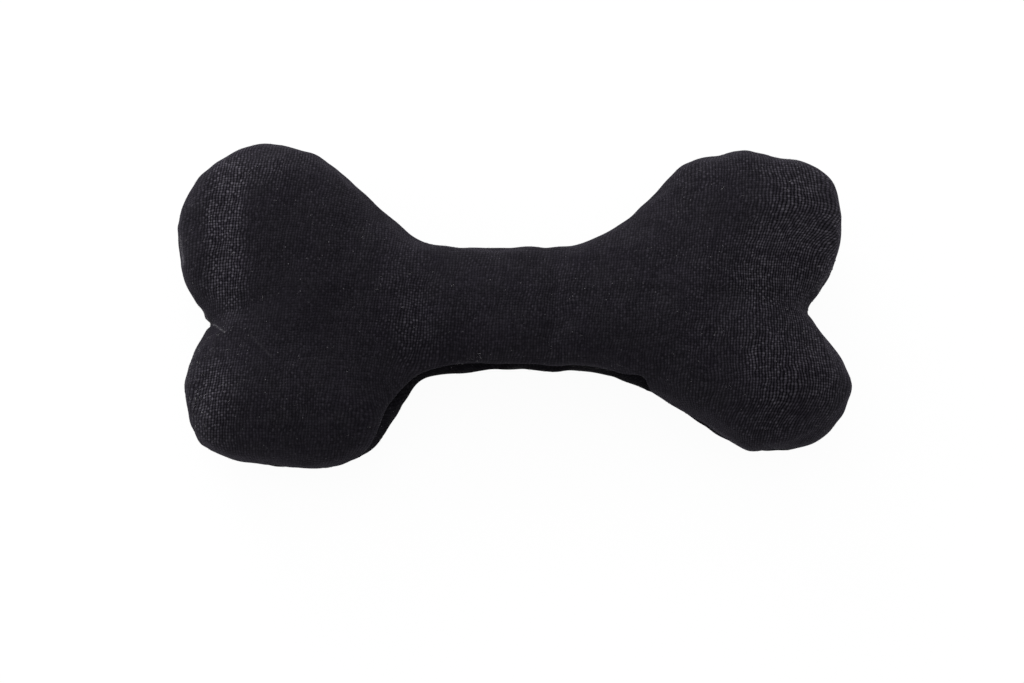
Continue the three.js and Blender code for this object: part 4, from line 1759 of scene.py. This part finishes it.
@dataclass
class Studio:
    """A pale floor, soft lamps and the camera."""

    floor_size: float = 8.0
    floor_colour: Colour = (0.88, 0.88, 0.89, 1.0)
    floor_white: float = 0.93
    floor_glow: float = 1.03
    surround: float = 0.38
    aim: tuple[float, float, float] = (-0.00067, -0.0099, 0.020)
    distance: float = 0.761
    elevation: float = math.radians(80.0)
    lens: float = 100.0
    lamps: tuple[Lamp, ...] = (
        Lamp("overhead_lamp", (0.0, 0.3, 1.05), 0.9, 2.7),
        Lamp("back_lamp", (-0.35, 0.85, 0.42), 0.6, 4.6),
        Lamp("left_lamp", (-0.75, 0.1, 0.3), 0.4, 1.6),
        Lamp("right_lamp", (0.75, 0.1, 0.3), 0.4, 0.5),
    )

    def floor(self) -> bpy.types.Object:
        """A wide floor that the camera sees as almost white, and that keeps a soft shadow."""
        half = self.floor_size / 2
        corners = np.array([[-half, -half, 0.0], [half, -half, 0.0], [half, half, 0.0], [-half, half, 0.0]])
        floor = make_object("floor", corners, [[0, 1, 2, 3]])
        material = bpy.data.materials.new("pale_floor")
        material.use_nodes = True
        wires = Wires(material.node_tree)
        material.node_tree.nodes.remove(material.node_tree.nodes["Principled BSDF"])
        matt = wires.node("BsdfDiffuse", {"Color": self.floor_colour})
        bright = wires.node("Emission", {"Color": (1.0, 1.0, 1.0, 1.0), "Strength": self.floor_glow})
        rays = wires.node("LightPath")
        seen = wires.math("MAXIMUM", rays.outputs["Is Camera Ray"], rays.outputs["Is Glossy Ray"])
        seen = wires.math("MAXIMUM", seen, rays.outputs["Is Transmission Ray"])
        mixed = wires.node("MixShader", {"Fac": wires.product(seen, self.floor_white)})
        wires.feed(mixed.inputs[1], matt.outputs[0])
        wires.feed(mixed.inputs[2], bright.outputs[0])
        wires.feed(material.node_tree.nodes["Material Output"].inputs["Surface"], mixed.outputs[0])
        floor.data.materials.append(material)
        return floor

    def world(self) -> None:
        """Even light from all round, which the camera sees as white."""
        world = bpy.data.worlds.new("studio_world")
        world.use_nodes = True
        bpy.context.scene.world = world
        wires = Wires(world.node_tree)
        background = world.node_tree.nodes["Background"]
        background.inputs["Color"].default_value = (1.0, 1.0, 1.0, 1.0)
        rays = wires.node("LightPath")
        seen = wires.math("MAXIMUM", rays.outputs["Is Camera Ray"], rays.outputs["Is Transmission Ray"])
        strength = wires.math("MULTIPLY_ADD", seen, 1.0 - self.surround, self.surround)
        wires.feed(background.inputs["Strength"], strength)

    def build(self) -> None:
        """Sets up the floor, the world, the lamps and the camera."""
        self.floor()
        self.world()
        scene = bpy.context.scene
        scene.view_settings.view_transform = "Standard"
        for lamp in self.lamps:
            light = bpy.data.lights.new(lamp.name, "AREA")
            light.size = lamp.size
            light.energy = lamp.power
            lit = linked(lamp.name, light)
            lit.location = lamp.place
            lit.rotation_euler = (Vector(self.aim) - lit.location).to_track_quat("-Z", "Y").to_euler()
        camera = linked("camera", bpy.data.cameras.new("camera"))
        camera.data.lens = self.lens
        back = Vector((0.0, -math.cos(self.elevation), math.sin(self.elevation)))
        camera.location = Vector(self.aim) + self.distance * back
        camera.rotation_euler = (math.pi / 2 - self.elevation, 0.0, 0.0)
        scene.camera = camera


LINT_SPOTS = Spots(
    0.5,
    (
        (-0.97, 0.27, 0.06, 0.15, 9.0), (-0.93, -0.33, 0.04, 0.12, 26.0), (-0.94, -0.6, 0.04, 0.2, 26.0),
        (-0.81, -0.33, 0.06, 0.08, 5.0), (-0.84, -0.56, 0.07, 0.1, 6.0), (-0.88, -0.17, 0.06, 0.12, 7.0),
        (0.92, 0.17, 0.05, 0.12, 7.0), (0.55, 0.88, 0.08, 0.1, 5.0), (0.84, 0.86, 0.06, 0.06, 7.0),
        (0.9, -0.74, 0.05, 0.06, 6.0), (-0.75, 0.85, 0.12, 0.1, 2.5), (-0.14, -0.38, 0.05, 0.04, 12.0),
        (-0.4, -0.82, 0.03, 0.06, 8.0), (-0.45, -0.15, 0.05, 0.06, 3.0), (-0.59, -0.55, 0.1, 0.12, 2.0),
    ),
)

RIB_SPOTS = Spots(
    0.52,
    (
        (0.72, 0.0, 0.16, 0.6, 0.15), (0.86, 0.35, 0.14, 0.45, 0.25), (0.82, -0.45, 0.2, 0.5, 0.35),
        (-0.87, 0.3, 0.1, 0.5, -0.08), (-0.9, -0.6, 0.1, 0.3, -0.08), (-0.33, 0.1, 0.08, 0.5, -0.1),
    ),
)

# Painted highlights along the fold crests by the left notch and along the rims of the knuckles.
PAINTED_HIGHLIGHTS = (
    PaintedHighlight((-81.9, -4.6, 23.5), (-76.2, -9.8, 34.0), 0.22 * MM, 0.42, 2.5 * MM),
    PaintedHighlight((-83.6, -0.3, 22.5), (-81.9, -4.4, 23.5), 0.35 * MM, 0.3),
    PaintedHighlight((-69.0, -11.2, 38.0), (-63.2, -17.5, 40.3), 0.3 * MM, 0.05),
    PaintedHighlight((-88.9, 17.2, 26.5), (-88.2, 10.2, 26.5), 0.5 * MM, 0.5),
    PaintedHighlight((84.7, 9.2, 24.0), (81.0, 3.5, 24.0), 0.3 * MM, 0.4),
    PaintedHighlight((36.7, 30.1, 22.5), (43.4, 35.6, 23.5), 0.5 * MM, 0.2),
    PaintedHighlight((71.9, 38.2, 27.7), (76.4, 37.6, 27.0), 0.4 * MM, 0.3),
)

# Painted light and shade on the front's colour: each spot makes a patch darker or lighter as the light fell
# there, darkest on the lower right knuckle and lighter on the lower shaft.
PAINTED_SHADING_SPOTS = Spots(
    1.0,
    (
        (0.78, -0.45, 0.22, 0.4, -0.3), (0.84, -0.2, 0.13, 0.22, -0.27), (0.87, 0.42, 0.14, 0.5, -0.1),
        (-0.5, -0.03, 0.12, 0.3, -0.16), (-0.68, -0.05, 0.12, 0.35, -0.1), (-0.93, -0.25, 0.06, 0.25, -0.1),
        (-0.93, 0.65, 0.08, 0.2, -0.13), (0.0, -0.22, 0.15, 0.12, 0.15), (-0.52, -0.65, 0.12, 0.15, 0.12),
    ),
)

# Painted shade on the back panel: darker all over, and darkest in the strip below the shaft that shows
# beneath the front.
BACK_PAINTED_SHADING_SPOTS = Spots(0.78, ((-0.25, -0.45, 0.34, 0.3, -0.42), (0.25, -0.45, 0.34, 0.3, -0.42)))

LEAN_SPOTS = Spots(0.115, ((0.92, 0.36, 0.22, 0.27, 0.6), (0.8, -0.74, 0.3, 0.22, 0.45)))

# Where the weave shows clearly; there the threads also take more painted glint and a painted highlight.
CLARITY_SPOTS = Spots(
    0.39,
    (
        (-0.845, 0.62, 0.05, 0.36, 0.9), (-0.845, 0.15, 0.05, 0.3, 0.9), (-0.93, 0.4, 0.06, 0.5, 0.06),
        (-0.7, 0.85, 0.2, 0.16, 0.35), (-0.89, -0.72, 0.08, 0.2, 0.6), (-0.84, -0.47, 0.06, 0.16, 0.4),
        (-0.94, -0.4, 0.05, 0.3, 0.15), (-0.33, 0.1, 0.07, 0.4, 0.32), (-0.3, -0.25, 0.07, 0.2, 0.12),
        (0.76, 0.1, 0.16, 0.5, 0.3), (0.89, 0.45, 0.13, 0.5, 0.6), (0.82, -0.42, 0.2, 0.5, 0.68),
        (-0.89, -0.2, 0.05, 0.12, -0.45), (-0.62, -0.05, 0.14, 0.35, -0.16), (0.6, 0.85, 0.15, 0.15, 0.2),
    ),
)


def main() -> None:
    """Builds the toy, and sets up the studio."""
    logging.basicConfig(level=logging.INFO, format="%(name)s: %(message)s")
    black_thread = ThreadFinish("black_thread", (0.004, 0.0038, 0.0048, 1.0), (0.012, 0.011, 0.0135, 1.0))
    dark_fuzz = ThreadFinish("dark_fuzz", (0.012, 0.011, 0.014, 1.0), (0.03, 0.028, 0.034, 1.0))
    pale_lint = ThreadFinish("pale_lint", (0.1, 0.097, 0.104, 1.0), (1.0, 0.98, 1.0, 1.0), by_strand=True)
    finishes = {
        Face.FRONT: WovenCotton(highlights=PAINTED_HIGHLIGHTS),
        Face.BACK: WovenCotton(
            name="back_woven_cotton",
            # A weaker painted glint on the back.
            painted_glint=(0.09, 0.085, 0.1, 1.0),
            dust=0.03,
            specular=0.02,
            sheen=0.0,
        ),
    }
    # Painted light and shade on each panel's colour.
    painted_shading = {Face.FRONT: PAINTED_SHADING_SPOTS, Face.BACK: BACK_PAINTED_SHADING_SPOTS}
    cover = Cover(ToyShape.from_frame(), finishes, CLARITY_SPOTS, RIB_SPOTS, painted_shading, LEAN_SPOTS)
    assemblies = (
        cover,
        SeamThread(cover, black_thread),
        Filling(cover, LooseFibre()),
        Squeaker(
            Moulded("milky_vinyl", (0.74, 0.76, 0.74, 1.0), (0.66, 0.68, 0.66, 1.0), 0.45),
            Moulded("white_plastic", (0.86, 0.86, 0.83, 1.0), (0.8, 0.8, 0.77, 1.0), 0.35),
            Moulded("clear_film", (0.7, 0.72, 0.69, 1.0), (0.64, 0.66, 0.63, 1.0), 0.22),
        ),
        Fibres(
            cover, "dark_fibres", dark_fuzz, "black_cloth", 3600, (0.4 * MM, 1.1 * MM), 0.016 * MM,
            (0.04 * MM, 0.2 * MM), 0.8, 1.0, Spots(),
        ),
        Fibres(
            cover, "lint_hairs", pale_lint, "stuffing", 900, (0.3 * MM, 1.9 * MM), 0.016 * MM,
            (0.03 * MM, 0.15 * MM), 1.8, 0.2, LINT_SPOTS, 0.25, 7,
        ),
    )
    for assembly in assemblies:
        made = assembly.build()
        for piece in made if isinstance(made, list) else [made]:
            LOG.info("%s: %d faces", piece.name, len(piece.data.polygons))
    Studio().build()


if __name__ == "__main__":
    main()
